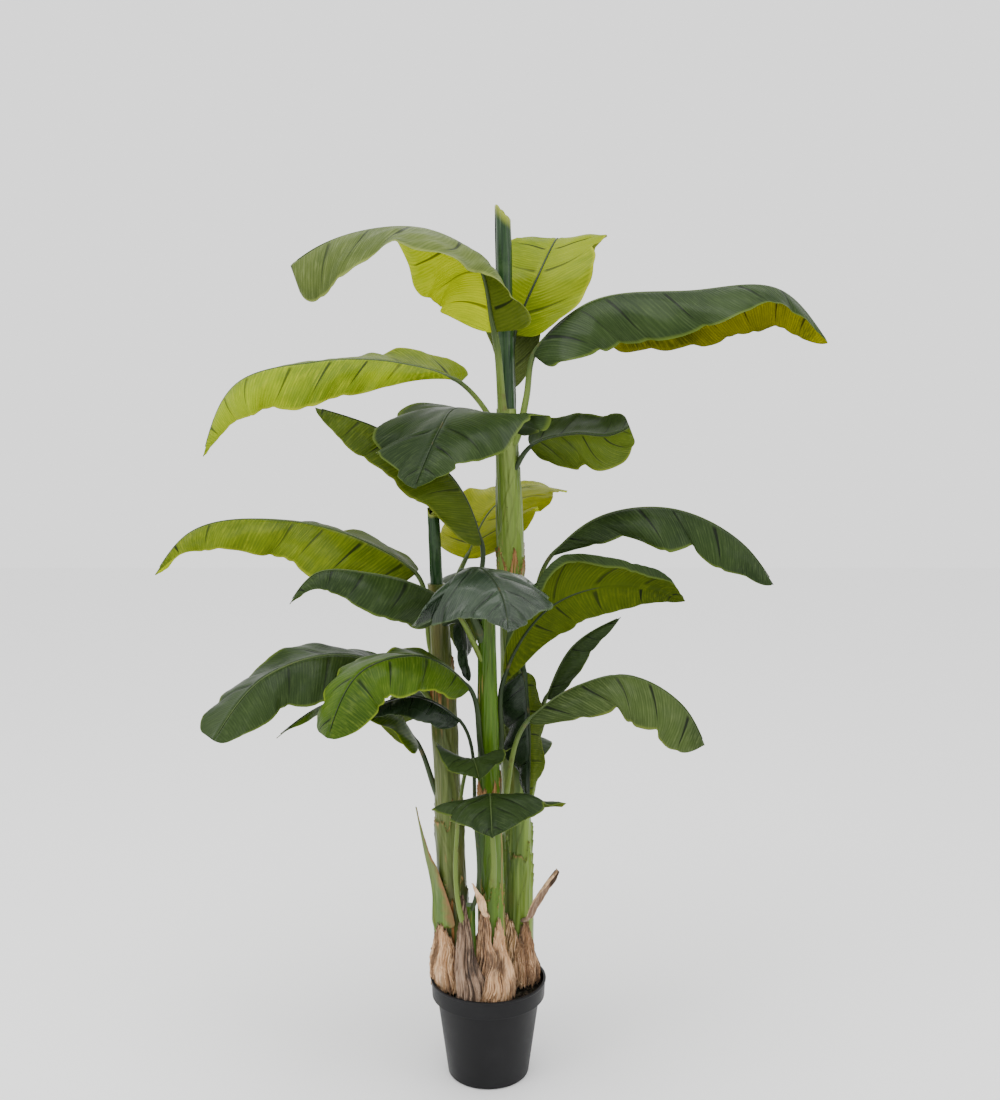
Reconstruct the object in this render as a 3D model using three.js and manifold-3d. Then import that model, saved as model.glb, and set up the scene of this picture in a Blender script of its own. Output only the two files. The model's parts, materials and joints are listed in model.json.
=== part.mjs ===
// An artificial banana plant: three false stems in a plain black pot.
//
// Millimetres, +Z up. The origin is the centre of the pot's flat underside, +X is to the
// right of the plant's front and +Y is towards its back. Every part is one closed solid.
import * as THREE from 'three';
import { mergeVertices } from 'three/addons/utils/BufferGeometryUtils.js';
import Module from 'manifold-3d';

const wasm = await Module();
wasm.setup();

// Driving dimensions

const GAP = 0.3;                 // clearance between parts that rest on each other

const POT = {
  height: 210,
  baseRadius: 85,
  neckRadius: 108,               // outside, just under the rim band
  rimRadius: 121.5,
  bandHeight: 38,
  wall: 2.6,
  floor: 4,
  edge: 6,                       // rounding of the bottom edge
  sides: 36,
  rimStep: 3,                    // how far the rim stands out over its band
  lipHeight: 3.5,
  draft: 1.5,
  round: 1,
};
const SOIL_TOP = 185;
const SOIL_EDGE = 3;             // bevel round the filling's top
const STEM_FOOT = SOIL_TOP + GAP;

// A stem runs from its foot on the soil to its top. A sheath that ends lower down stands
// proud of the stem by lip, and its torn edge flares out over the last few centimetres.
const STEMS = {
  tall: {
    foot: [63, 34], top: [37, 28, 1400], footRadius: 35, topRadius: 21, bow: 3,
    sheathEnds: [1092, 720, 480], lip: 5, sides: 16,
  },
  left: {
    foot: [-69, 2], top: [-104, -6, 1050], footRadius: 35, topRadius: 19, bow: 4,
    sheathEnds: [860, 560, 400], lip: 4, sides: 16,
  },
  front: {
    foot: [8, -50], top: [-2, -52, 1000], footRadius: 30, topRadius: 17, bow: 0,
    sheathEnds: [640, 420], lip: 3, sides: 16,
  },
  sucker: {
    foot: [-36, -82], top: [-38, -76, 400], footRadius: 14, topRadius: 12, bow: 0,
    sheathEnds: [], lip: 0, sides: 10,
  },
};
const FLARE_HEIGHT = 26;         // how fast a torn sheath edge flares
const FOOT_FLARE = 3;            // extra radius of a stem at the soil

// The youngest leaf of a stem is still rolled: a tube that goes on from the stem's top.
const SPEARS = {
  tall: { tip: [30, 28, 1804], radius: 19.5, tipRadius: 18, slant: 40, slantFacing: 180 },
  left: { tip: [-110, -10, 1210], radius: 15, tipRadius: 14, slant: 20, slantFacing: 100 },
};

// A leaf grows out of its stem at height from. Its midrib runs from the stem, by way of any
// rise, through the blade's base and its bends to the tip. turn is the compass heading of the
// blade along its length (0 to the right, 90 to the back, 180 to the left, 270 to the front),
// left and right are the widths of its halves seen from the stem, and hang is how steeply each
// half slopes down from the midrib. rounded gives how bluntly the outline starts and ends, and
// roundedLeft does so for a left half that differs from the right one.
const LEAVES = {
  leaf_top_left: {
    stem: 'tall', from: 1370, base: [0, -40, 1600],
    bends: [[-30, -72, 1704], [-110, -105, 1736], [-235, -115, 1734], [-322, -105, 1690]],
    tip: [-325, -115, 1588], turn: [265, 255, 212, 200, 205, 240], left: 112, right: 146,
    hangLeft: [10, 25, 70, 8, 35, 40], hangRight: [15, 20, 30, 25], rounded: [0.28, 0.38],
    roundedLeft: [0.45, 0.38], stalk: 7.5,
  },
  leaf_top_right: {
    stem: 'tall', from: 1385, base: [53, 52, 1545], bends: [[107, 75, 1678], [140, 150, 1744]],
    tip: [165, 330, 1690], turn: [60, 70, 75, 80], left: 90, right: 118,
    hangLeft: [-10, 10, 20], hangRight: [-5, -8, 20], rounded: [0.4, 0.5],
  },
  leaf_top_back: {
    stem: 'tall', from: 1360, base: [50, 72, 1440], bends: [[46, 110, 1580], [20, 210, 1655]],
    tip: [-30, 370, 1605], turn: [95, 100, 110], left: 62, right: 70,
    hangLeft: [0, 20], hangRight: [0, 20], rounded: [0.6, 0.6],
  },
  leaf_upper_right: {
    stem: 'tall', from: 1330, rise: [76, 22, 1420], base: [90, 20, 1506],
    bends: [[185, 20, 1602], [400, 5, 1632], [576, -8, 1631]],
    tip: [667, -15, 1530], turn: [0, -4, -6], left: 130, right: 124,
    hangLeft: [70, 75, 82, 75], hangRight: [45, 60, 64, 8], rounded: [0.3, 0.6],
    roundedLeft: [0.3, 0.4], stalk: 7.5,
  },
  leaf_upper_left: {
    stem: 'tall', from: 1345, base: [-55, 40, 1452],
    bends: [[-185, 70, 1493], [-355, 95, 1494], [-525, 115, 1446]],
    tip: [-598, 125, 1298], turn: [170, 172, 176], left: 112, right: 95,
    hangLeft: [50, 60, 60], hangRight: [-20, 5, 15], rounded: [0.2, 0.5], roundedLeft: [1.2, 1],
  },
  leaf_upper_front: {
    stem: 'tall', from: 1330, base: [-20, -30, 1395], bends: [[-60, -90, 1405], [-90, -190, 1365]],
    tip: [-130, -265, 1268], turn: [205, 225, 240, 250], left: 175, right: 168,
    hangLeft: [12, 28], hangRight: [5, 15], rounded: [0.35, 0.75],
  },
  leaf_upper_right_short: {
    stem: 'tall', from: 1275, base: [84, 5, 1325], bends: [[175, 0, 1352], [245, -5, 1350]],
    tip: [281, -10, 1366], turn: [0, -3, -6], left: 88, right: 84,
    hangLeft: [-25, -30, -25], hangRight: [60, 68, 45], rounded: [0.25, 0.35],
  },
  leaf_centre_rising: {
    stem: 'front', from: 985, base: [-10, -52, 1135], bends: [[-65, -45, 1265], [-195, -30, 1355]],
    tip: [-340, -10, 1405], turn: [185, 178, 175, 175], left: 108, right: 110,
    hangLeft: [45, 55], hangRight: [50, 25],
  },
  leaf_centre_yellow: {
    stem: 'left', from: 980, base: [-46, 76, 1090], bends: [[18, 206, 1190], [88, 270, 1222]],
    tip: [174, 300, 1208], turn: [50, 45, 35, 30], left: 100, right: 125,
    hangLeft: [-15, 0], hangRight: [0, 10],
  },
  leaf_middle_left: {
    stem: 'left', from: 890, base: [-145, 10, 1068],
    bends: [[-240, 15, 1130], [-410, 22, 1176], [-615, 34, 1145]],
    tip: [-684, 40, 1062], turn: [180, 178, 176], left: 108, right: 110,
    hangLeft: [55, 60, 50], hangRight: [0, 15, 20], rounded: [0.2, 0.5], roundedLeft: [0.3, 0.85],
  },
  leaf_middle_left_low: {
    stem: 'front', from: 905, base: [-75, -75, 1021], bends: [[-222, -122, 1090], [-332, -132, 1090]],
    tip: [-381, -137, 1033], turn: [185, 185, 188], left: 95, right: 72,
    hangLeft: [60, 55], hangRight: [45, 35], rounded: [0.35, 0.7], roundedLeft: [0.3, 1],
  },
  leaf_middle_front: {
    stem: 'front', from: 945, base: [-50, -105, 1092], bends: [[-15, -145, 1105], [28, -212, 1065]],
    tip: [40, -260, 1003], turn: [235, 262, 290, 285], left: 140, right: 150,
    hangLeft: [18, 30], hangRight: [35, 38], rounded: [0.4, 0.85],
  },
  leaf_middle_back: {
    stem: 'left', from: 935, base: [-82, 75, 1015], bends: [[-68, 140, 1045]],
    tip: [-60, 350, 825], turn: [80, 85, 90], left: 75, right: 75,
    hangLeft: [30, 40], hangRight: [30, 40],
  },
  leaf_middle_right: {
    stem: 'tall', from: 890, base: [128, 35, 1100],
    bends: [[215, 25, 1178], [365, 10, 1202], [515, -5, 1130]],
    tip: [577, -10, 1050], turn: [0, -3, -6], left: 80, right: 90,
    hangLeft: [80, 70], hangRight: [60, 55], rounded: [0.8, 0.55],
  },
  leaf_bright_left: {
    stem: 'front', from: 700, base: [-35, -90, 855], bends: [[-130, -140, 932], [-235, -190, 915]],
    tip: [-300, -228, 793], turn: [185, 200, 215, 218], left: 86, right: 92,
    hangLeft: [45, 40], hangRight: [0, 15], rounded: [0.4, 0.32], roundedLeft: [0.4, 0.6],
  },
  leaf_low_left: {
    stem: 'left', from: 790, base: [-200, -20, 885], bends: [[-310, -40, 912], [-440, -85, 877]],
    tip: [-534, -138, 762], turn: [195, 198, 203], left: 98, right: 104,
    hangLeft: [45, 58, 30], hangRight: [-8, 0, -12], rounded: [0.35, 0.25], roundedLeft: [0.35, 0.6],
  },
  leaf_low_left_under: {
    stem: 'left', from: 590, base: [-145, 5, 715], bends: [[-190, -5, 785], [-290, -20, 815]],
    tip: [-432, -25, 736], turn: [205, 195, 185, 180], left: 92, right: 92,
    hangLeft: [20, 30], hangRight: [20, 30], rounded: [0.2, 1.3],
  },
  leaf_low_back_left: {
    stem: 'left', from: 700, base: [-105, 90, 785], bends: [[-140, 180, 805]],
    tip: [-195, 350, 665], turn: [110, 110, 110], left: 70, right: 70,
    hangLeft: [20, 30], hangRight: [20, 30],
  },
  leaf_low_back_right: {
    stem: 'tall', from: 600, base: [85, 120, 645], bends: [[85, 210, 675]],
    tip: [90, 380, 520], turn: [90, 90, 90], left: 55, right: 55,
    hangLeft: [20, 30], hangRight: [20, 30],
  },
  leaf_underside_right: {
    stem: 'front', from: 690, base: [30, -45, 855],
    bends: [[52, -42, 915], [128, -36, 1010], [225, -34, 1048], [337, -38, 1042]],
    tip: [393, -44, 1022], turn: [-15, -12, -8], left: 62, right: 90,
    hangLeft: [10, 10], hangRight: [10, 15], roll: [-60, -75, -70], rounded: [1.5, 0.6],
    roundedLeft: [0.7, 0.8],
  },
  leaf_narrow_right: {
    stem: 'tall', from: 560, base: [118, 20, 805], bends: [[174, 10, 920]],
    tip: [268, -5, 982], turn: [10, 5, 0], left: 40, right: 46,
    hangLeft: [50, 50], hangRight: [60, 60],
  },
  leaf_low_right: {
    stem: 'front', from: 560, base: [80, -75, 785],
    bends: [[180, -90, 862], [275, -100, 884], [385, -115, 825]],
    tip: [428, -120, 748], turn: [-5, -8, -12], left: 90, right: 92,
    hangLeft: [50, 50], hangRight: [55, 55], rounded: [0.45, 0.45],
  },
  leaf_hanging_right: {
    stem: 'tall', from: 890, base: [73, -24, 872], bends: [[80, -34, 815]],
    tip: [84, -32, 605], turn: [270, 270, 268], left: 40, right: 62,
    hangLeft: [30, 30], hangRight: [30, 30],
  },
  leaf_hanging_middle: {
    stem: 'left', from: 965, base: [-58, -30, 978], bends: [[-44, -48, 920]],
    tip: [-36, -56, 860], turn: [330, 330, 330], left: 30, right: 30,
    hangLeft: [20, 20], hangRight: [20, 20],
  },
  leaf_small_left: {
    stem: 'sucker', from: 394, rise: [-25, -84, 590], base: [-55, -76, 785], bends: [[-140, -110, 845]],
    tip: [-255, -120, 810], turn: [182, 182, 184], left: 55, right: 45,
    hangLeft: [45, 40], hangRight: [55, 50], stalk: 4.5,
  },
  leaf_small_front: {
    stem: 'sucker', from: 350, rise: [-60, -94, 580], base: [-40, -98, 700], bends: [[-30, -135, 726]],
    tip: [-15, -205, 706], turn: [265, 268, 272], left: 82, right: 80,
    hangLeft: [-25, -5], hangRight: [-25, -5], rounded: [0.4, 0.8], stalk: 4.5,
  },
  leaf_lowest_front: {
    stem: 'front', from: 425, rise: [12, -92, 490], base: [5, -110, 612], bends: [[5, -160, 663]],
    tip: [10, -275, 617], turn: [270, 270, 270], left: 132, right: 118,
    hangLeft: [3, 15], hangRight: [10, 22], rounded: [0.4, 0.85], stalk: 5.5,
  },
};

const OUTLINE = [0.45, 0.7];     // how bluntly a blade starts and ends where none is given
const CURL = [0.45, 1.1];        // slope of a half at the midrib, and its growth to the margin
const PETIOLE_RADIUS = 6;
const BLADE_THICKNESS = 0.0105;  // of the blade's length
const LEAST_THICKNESS = 3;
const LEAST_SHARE = 0.02;        // of the half width, left at a blade's very ends
const BLADE_START = 0.08;        // share of the blade over which the round petiole opens out
const ROOT_DEPTH = 0.62;         // where a petiole starts inside its stem, of the stem's radius
const PETIOLE_STEPS = [0, 0.3, 0.65];
const BLADE_STEPS = [0, 0.04, 0.12, 0.24, 0.37, 0.5, 0.63, 0.76, 0.88, 0.96, 1];

// A dry sheath wraps part of a stem's foot. facing is the heading of its middle, and its
// angle narrows from the foot to the top. It stands off the stem by bulge at the foot.
const HUSKS = {
  husk_left: { stem: 'left', facing: 258, foot: 64, top: 34, height: 130, bulge: 5 },
  husk_left_inner: { stem: 'left', facing: 314, foot: 42, top: 28, height: 205, bulge: 3 },
  husk_front: { stem: 'front', facing: 288, foot: 150, top: 40, height: 212, bulge: 0.5 },
  husk_right: { stem: 'tall', facing: 262, foot: 100, top: 60, height: 162, bulge: 5 },
};
const HUSK_THICKNESS = 2.5;

// Narrow blades at the foot of the stems: a green pointed bract and two dry curled strips.
const STRIPS = {
  bract_left: {
    stem: 'left', from: 270, base: [-110, -13, 325], bends: [[-113, -16, 400], [-129, -22, 490]],
    tip: [-146, -28, 590], turn: [205, 205, 200], left: 46, right: 25,
    hangLeft: [-35, -30], hangRight: [-35, -30], rounded: [0.12, 1.1], stalk: 5,
  },
  strip_centre: {
    stem: 'front', from: 365, base: [-9, -92, 392], bends: [[-14, -98, 425]],
    tip: [-30, -104, 458], turn: [250, 240, 230], left: 10, right: 10,
    hangLeft: [10, 50], hangRight: [10, 50], rounded: [0.3, 0.6], stalk: 5,
  },
  strip_right: {
    stem: 'tall', from: 362, base: [80, -10, 386], bends: [[102, -14, 408]],
    tip: [138, -16, 452], turn: [290, 300, 310], left: 12, right: 12,
    hangLeft: [30, 60], hangRight: [30, 60], rounded: [0.4, 0.2], stalk: 5,
  },
};

// Looks of the parts, for a first view

const COLOURS = {
  pot: { color: '#2b2b2d', roughness: 0.55, metalness: 0 },
  soil: { color: '#1d1a17', roughness: 0.95, metalness: 0 },
  stem: { color: '#7f9558', roughness: 0.55, metalness: 0 },
  spear: { color: '#2c5138', roughness: 0.35, metalness: 0 },
  husk: { color: '#b3936f', roughness: 0.9, metalness: 0 },
  darkLeaf: { color: '#3d5a3b', roughness: 0.42, metalness: 0 },
  brightLeaf: { color: '#6f9a2c', roughness: 0.45, metalness: 0 },
  yellowLeaf: { color: '#a8b03a', roughness: 0.5, metalness: 0 },
};
const BRIGHT_LEAVES = [
  'leaf_bright_left', 'leaf_low_left_under', 'leaf_low_right', 'leaf_top_left',
];
const YELLOW_LEAVES = [
  'leaf_top_right', 'leaf_upper_left', 'leaf_centre_yellow', 'leaf_middle_left', 'leaf_top_back',
];

// Small helpers

const radians = THREE.MathUtils.degToRad;
const vector = (values) => new THREE.Vector3(...values);
const mix = THREE.MathUtils.lerp;

// The value at t (0 to 1) of evenly spaced values joined by straight lines.
function between(values, t) {
  const place = Math.min(Math.max(t, 0), 1) * (values.length - 1);
  const i = Math.min(Math.floor(place), values.length - 2);
  return mix(values[i], values[i + 1], place - i);
}

// A horizontal unit vector with the given compass heading.
function headingVector(degrees) {
  return new THREE.Vector3(Math.cos(radians(degrees)), Math.sin(radians(degrees)), 0);
}

// A smooth curve through the points, as a function of the distance along their chords. The
// slope at a point is the one of the parabola through it and its neighbours.
function smoothPath(points, firstSlope) {
  const chords = points.slice(1).map((p, i) => p.clone().sub(points[i]));
  const lengths = chords.map((c) => c.length());
  const slopes = chords.map((c, i) => c.clone().divideScalar(lengths[i]));
  const knots = [0];
  lengths.forEach((l) => knots.push(knots[knots.length - 1] + l));
  const tangents = points.map((p, i) => {
    if (i === 0) return firstSlope;
    if (i === points.length - 1) return null;
    return slopes[i - 1].clone().multiplyScalar(lengths[i])
      .addScaledVector(slopes[i], lengths[i - 1])
      .divideScalar(lengths[i - 1] + lengths[i]);
  });
  const last = points.length - 1;
  tangents[last] = slopes[last - 1].clone().multiplyScalar(1.5)
    .addScaledVector(tangents[last - 1], -0.5);

  function pointAt(distance) {
    let i = 0;
    while (i < lengths.length - 1 && distance > knots[i + 1]) i += 1;
    const h = lengths[i];
    const t = (distance - knots[i]) / h;
    return points[i].clone().multiplyScalar(2 * t ** 3 - 3 * t ** 2 + 1)
      .addScaledVector(tangents[i], h * (t ** 3 - 2 * t ** 2 + t))
      .addScaledVector(points[i + 1], -2 * t ** 3 + 3 * t ** 2)
      .addScaledVector(tangents[i + 1], h * (t ** 3 - t ** 2));
  }
  function tangentAt(distance) {
    const step = 0.5;
    const a = Math.max(distance - step, 0);
    const b = Math.min(distance + step, knots[last]);
    return pointAt(b).sub(pointAt(a)).normalize();
  }
  return { pointAt, tangentAt, knots, length: knots[last] };
}

// A closed solid through rings of points that turn the same way, with flat ends. Seen from
// the last ring the points run anticlockwise.
function loft(rings) {
  const count = rings[0].length;
  const positions = rings.flat().flatMap((p) => p.toArray());
  const index = [];
  for (let r = 0; r < rings.length - 1; r += 1) {
    for (let i = 0; i < count; i += 1) {
      const a = r * count + i;
      const b = r * count + (i + 1) % count;
      index.push(a, b, a + count, b, b + count, a + count);
    }
  }
  const end = (rings.length - 1) * count;
  for (let i = 1; i < count - 1; i += 1) {
    index.push(0, i + 1, i);
    index.push(end, end + i, end + i + 1);
  }
  const geometry = new THREE.BufferGeometry();
  geometry.setAttribute('position', new THREE.Float32BufferAttribute(positions, 3));
  geometry.setIndex(index);
  return geometry;
}

function toSolid(geometry) {
  const bare = geometry.clone();
  bare.deleteAttribute('normal');
  bare.deleteAttribute('uv');
  const merged = mergeVertices(bare);
  return new wasm.Manifold(new wasm.Mesh({
    numProp: 3,
    vertProperties: new Float32Array(merged.attributes.position.array),
    triVerts: new Uint32Array(merged.index.array),
  }));
}

function toGeometry(solid) {
  const mesh = solid.getMesh();
  const geometry = new THREE.BufferGeometry();
  geometry.setAttribute('position', new THREE.BufferAttribute(mesh.vertProperties, 3));
  geometry.setIndex(new THREE.BufferAttribute(mesh.triVerts, 1));
  return geometry;
}

// Pot and soil

function lathe(profile) {
  const points = profile.map(([radius, z]) => new THREE.Vector2(radius, z));
  const geometry = new THREE.LatheGeometry(points, POT.sides);
  geometry.rotateX(Math.PI / 2);
  return geometry;
}

function potGeometry() {
  const bandFoot = POT.height - POT.bandHeight;
  const band = POT.rimRadius - POT.rimStep;
  return lathe([
    [0, 0],
    [POT.baseRadius - POT.edge, 0],
    [POT.baseRadius - POT.edge / 3, POT.edge / 3],
    [POT.baseRadius, POT.edge],
    [POT.neckRadius, bandFoot],
    [band, bandFoot],
    [band + POT.round, bandFoot + 2 * POT.round],
    [band + POT.draft, POT.height - POT.lipHeight - POT.draft],
    [POT.rimRadius, POT.height - POT.lipHeight],
    [POT.rimRadius, POT.height - POT.round],
    [POT.rimRadius - POT.round, POT.height],
    [band - POT.wall, POT.height],
    [band - POT.wall - POT.round, bandFoot + POT.wall + POT.round],
    [POT.neckRadius - POT.wall, bandFoot + POT.wall],
    [POT.baseRadius - POT.wall, POT.edge + POT.round],
    [POT.baseRadius - POT.edge, POT.floor],
    [0, POT.floor],
  ]);
}

function soilGeometry() {
  const bandFoot = POT.height - POT.bandHeight;
  const inBand = POT.rimRadius - POT.rimStep - POT.wall - POT.round - 2 * GAP;
  return lathe([
    [0, POT.floor + GAP],
    [POT.baseRadius - POT.edge - POT.round, POT.floor + GAP],
    [POT.baseRadius - POT.wall - 2 * GAP, POT.edge + 2 * POT.round],
    [POT.neckRadius - POT.wall - GAP, bandFoot + POT.wall + 2 * GAP],
    [inBand, bandFoot + POT.wall + POT.round + 2 * GAP],
    [inBand, SOIL_TOP - SOIL_EDGE],
    [inBand - SOIL_EDGE, SOIL_TOP],
    [0, SOIL_TOP],
  ]);
}

// Stems

function stemAxis(stem, z) {
  const k = (z - STEM_FOOT) / (stem.top[2] - STEM_FOOT);
  const bow = stem.bow * 4 * k * (1 - k);
  const x = mix(stem.foot[0], stem.top[0], k) + bow;
  return new THREE.Vector3(x, mix(stem.foot[1], stem.top[1], k), z);
}

function stemRadius(stem, z) {
  const k = (z - STEM_FOOT) / (stem.top[2] - STEM_FOOT);
  let radius = mix(stem.footRadius, stem.topRadius, k) + FOOT_FLARE * Math.exp(-k * 12);
  stem.sheathEnds.forEach((end) => {
    if (z < end) radius += stem.lip * Math.exp((z - end) / FLARE_HEIGHT);
  });
  return radius;
}

function ringAround(centre, radius, sides) {
  return Array.from({ length: sides }, (_, i) => {
    const angle = i / sides * Math.PI * 2;
    return new THREE.Vector3(Math.cos(angle), Math.sin(angle), 0).multiplyScalar(radius).add(centre);
  });
}

// Heights of a stem's rings: even steps, and four rings that shape each torn sheath edge.
function stemHeights(stem) {
  const spans = 5;
  const even = Array.from({ length: spans + 1 }, (_, i) => (
    mix(STEM_FOOT, stem.top[2], (i / spans) ** 1.1)));
  const edges = stem.sheathEnds.flatMap((end) => (
    [end - 2 * FLARE_HEIGHT, end - FLARE_HEIGHT / 2, end - 0.1, end + 1]));
  const sorted = [...even, ...edges].sort((a, b) => a - b);
  return sorted.filter((z, i) => i === 0 || z - sorted[i - 1] > 0.5);
}

function stemGeometry(stem, grown = 0) {
  return loft(stemHeights(stem).map((z) => (
    ringAround(stemAxis(stem, z), stemRadius(stem, z) + grown, stem.sides))));
}

// A rolled leaf stands on the top of its stem and ends in a slanting mouth.
function spearGeometry(stem, spear, grown = 0) {
  const foot = stemAxis(stem, stem.top[2]);
  foot.z += GAP - grown;
  const tip = vector(spear.tip);
  const facing = headingVector(spear.slantFacing);
  const steps = 5;
  const sides = 14;
  return loft(Array.from({ length: steps + 1 }, (_, j) => {
    const k = j / steps;
    const centre = foot.clone().lerp(tip, k);
    const radius = mix(spear.radius, spear.tipRadius, k) + grown;
    const ring = ringAround(centre, radius, sides);
    ring.forEach((p) => {
      const side = p.clone().sub(centre).dot(facing) / radius;
      p.z += j === steps ? spear.slant * (side - 1) / 2 : 0;
    });
    return ring;
  }));
}

// Leaves

// Half the width of a blade at v (0 at its base, 1 at its tip), as a share of the greatest.
function outlineShare([start, end], v) {
  const widest = start / (start + end);
  return (v ** start * (1 - v) ** end) / (widest ** start * (1 - widest) ** end);
}

// The point of one half of a blade at u (0 at the midrib, 1 at the margin): out to the side
// and down along an arc whose slope grows from CURL[0] of the hang by CURL[1] of it.
function arcOffset(width, hang, u) {
  const grow = radians(hang) * CURL[1];
  const first = radians(hang) * CURL[0];
  const slope = first + grow * u;
  if (Math.abs(grow) < 0.001) return { out: width * u, down: 0, slope };
  return {
    out: width * (Math.sin(slope) - Math.sin(first)) / grow,
    down: width * (Math.cos(first) - Math.cos(slope)) / grow,
    slope,
  };
}

// The directions across a blade: side points to its right, up to its upper face.
function bladeFrame(leaf, tangent, v) {
  const heading = headingVector(between(leaf.turn, v));
  const side = new THREE.Vector3(heading.y, -heading.x, 0);
  side.addScaledVector(tangent, -side.dot(tangent)).normalize();
  const up = side.clone().cross(tangent);
  const roll = radians(between(leaf.roll ?? [0, 0], v));
  return {
    side: side.clone().multiplyScalar(Math.cos(roll)).addScaledVector(up, -Math.sin(roll)),
    up: up.clone().multiplyScalar(Math.cos(roll)).addScaledVector(side, Math.sin(roll)),
  };
}

const ROUND_ANGLES = [172, 135, 90, 45, 8, -8, -45, -90, -135, -172];
const SHARES = [-1, -0.55, 0, 0.55, 1];

function roundRing(centre, frame, radius) {
  return ROUND_ANGLES.map((degrees) => centre.clone()
    .addScaledVector(frame.side, radius * Math.cos(radians(degrees)))
    .addScaledVector(frame.up, radius * Math.sin(radians(degrees))));
}

function bladeRing(leaf, centre, frame, v, thickness, ribDepth) {
  const rounded = leaf.rounded ?? OUTLINE;
  const shareRight = Math.max(outlineShare(rounded, v), LEAST_SHARE);
  const shareLeft = Math.max(outlineShare(leaf.roundedLeft ?? rounded, v), LEAST_SHARE);
  const top = [];
  const bottom = [];
  SHARES.forEach((across) => {
    const sign = Math.sign(across);
    const width = across < 0 ? leaf.left * shareLeft : leaf.right * shareRight;
    const hang = between(across < 0 ? leaf.hangLeft : leaf.hangRight, v);
    const arc = arcOffset(width, hang, Math.abs(across));
    const tilt = across === 0 ? 0 : arc.slope;
    const point = centre.clone()
      .addScaledVector(frame.side, sign * arc.out)
      .addScaledVector(frame.up, -arc.down);
    const depth = across === 0 ? thickness + ribDepth * (1 - v) : thickness;
    top.push(point);
    bottom.unshift(point.clone()
      .addScaledVector(frame.up, -depth * Math.cos(tilt))
      .addScaledVector(frame.side, -sign * depth * Math.sin(tilt)));
  });
  return [...top, ...bottom];
}

function leafSolid(leaf) {
  const stem = STEMS[leaf.stem];
  const stalk = leaf.stalk ?? PETIOLE_RADIUS;
  const centre = stemAxis(stem, leaf.from);
  const rise = leaf.rise ? [leaf.rise] : [];
  const places = [...rise, leaf.base, ...leaf.bends, leaf.tip].map(vector);
  const outward = places[0].clone().sub(centre).setZ(0).normalize();
  const start = centre.clone().addScaledVector(outward, stemRadius(stem, leaf.from) * ROOT_DEPTH);
  const firstSlope = outward.clone().multiplyScalar(0.45).add(new THREE.Vector3(0, 0, 0.9)).normalize();
  const path = smoothPath([start, ...places], firstSlope);
  const baseAt = path.knots[1 + rise.length];
  const bladeLength = path.length - baseAt;
  const thickness = Math.max(bladeLength * BLADE_THICKNESS, LEAST_THICKNESS);

  const rings = PETIOLE_STEPS.map((k) => {
    const distance = baseAt * k;
    const frame = bladeFrame(leaf, path.tangentAt(distance), 0);
    return roundRing(path.pointAt(distance), frame, mix(stalk * 1.15, stalk * 0.85, k));
  });
  BLADE_STEPS.forEach((v) => {
    const distance = baseAt + bladeLength * v;
    const frame = bladeFrame(leaf, path.tangentAt(distance), v);
    const point = path.pointAt(distance);
    const round = roundRing(point, frame, stalk * 0.85);
    const blade = bladeRing(leaf, point, frame, v, thickness, stalk);
    const share = THREE.MathUtils.smoothstep(v, 0, BLADE_START);
    rings.push(round.map((p, i) => p.lerp(blade[i], share)));
  });
  let solid = toSolid(loft(rings)).subtract(toSolid(stemGeometry(stem, GAP)));
  const spear = SPEARS[leaf.stem];
  if (spear) solid = solid.subtract(toSolid(spearGeometry(stem, spear, GAP)));
  return solid;
}

// A dry sheath: a shell around part of a stem's foot.
function huskGeometry(husk) {
  const stem = STEMS[husk.stem];
  const columns = 7;
  const rows = 6;
  return loft(Array.from({ length: rows + 1 }, (_, j) => {
    const k = j / rows;
    const z = STEM_FOOT + husk.height * k;
    const centre = stemAxis(stem, z);
    const span = mix(husk.foot, husk.top, k ** 0.7);
    const sag = Math.cos(radians(span / columns / 2));
    const inner = (stemRadius(stem, z) + 3 * GAP) / sag + husk.bulge * (1 - k) ** 2;
    const arc = (radius) => Array.from({ length: columns + 1 }, (__, i) => centre.clone()
      .addScaledVector(headingVector(husk.facing + span * (i / columns - 0.5)), radius));
    return [...arc(inner + HUSK_THICKNESS), ...arc(inner).reverse()];
  }));
}

// The plant

const plant = new THREE.Group();

function add(name, geometry, looks) {
  geometry.computeVertexNormals();
  const mesh = new THREE.Mesh(geometry, new THREE.MeshStandardMaterial(COLOURS[looks]));
  mesh.name = name;
  plant.add(mesh);
}

function leafLooks(name) {
  if (YELLOW_LEAVES.includes(name)) return 'yellowLeaf';
  if (BRIGHT_LEAVES.includes(name)) return 'brightLeaf';
  return 'darkLeaf';
}

add('pot', potGeometry(), 'pot');
add('soil', soilGeometry(), 'soil');
Object.entries(STEMS).forEach(([name, stem]) => add(`stem_${name}`, stemGeometry(stem), 'stem'));
Object.entries(SPEARS).forEach(([name, spear]) => {
  add(`spear_${name}`, spearGeometry(STEMS[name], spear), 'spear');
});
Object.entries(HUSKS).forEach(([name, husk]) => add(name, huskGeometry(husk), 'husk'));
Object.entries(STRIPS).forEach(([name, strip]) => {
  add(name, toGeometry(leafSolid(strip)), name === 'bract_left' ? 'stem' : 'husk');
});
Object.entries(LEAVES).forEach(([name, leaf]) => {
  add(name, toGeometry(leafSolid(leaf)), leafLooks(name));
});

export default plant;
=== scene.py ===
# %% [markdown]
# # An artificial banana plant, piece by piece
#
# The plant stands 1.8 m tall in a plain black nursery pot. It has three false stems of
# wrapped sheaths, a short sucker, and broad leaves of coated cloth on wired midribs.
# Every form here is a surface worked out with numpy: a function of two parameters on a
# grid, so a shape can be changed by changing one number and running the lesson again.

# %% The frame that everything is built round
import json
import math

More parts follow.
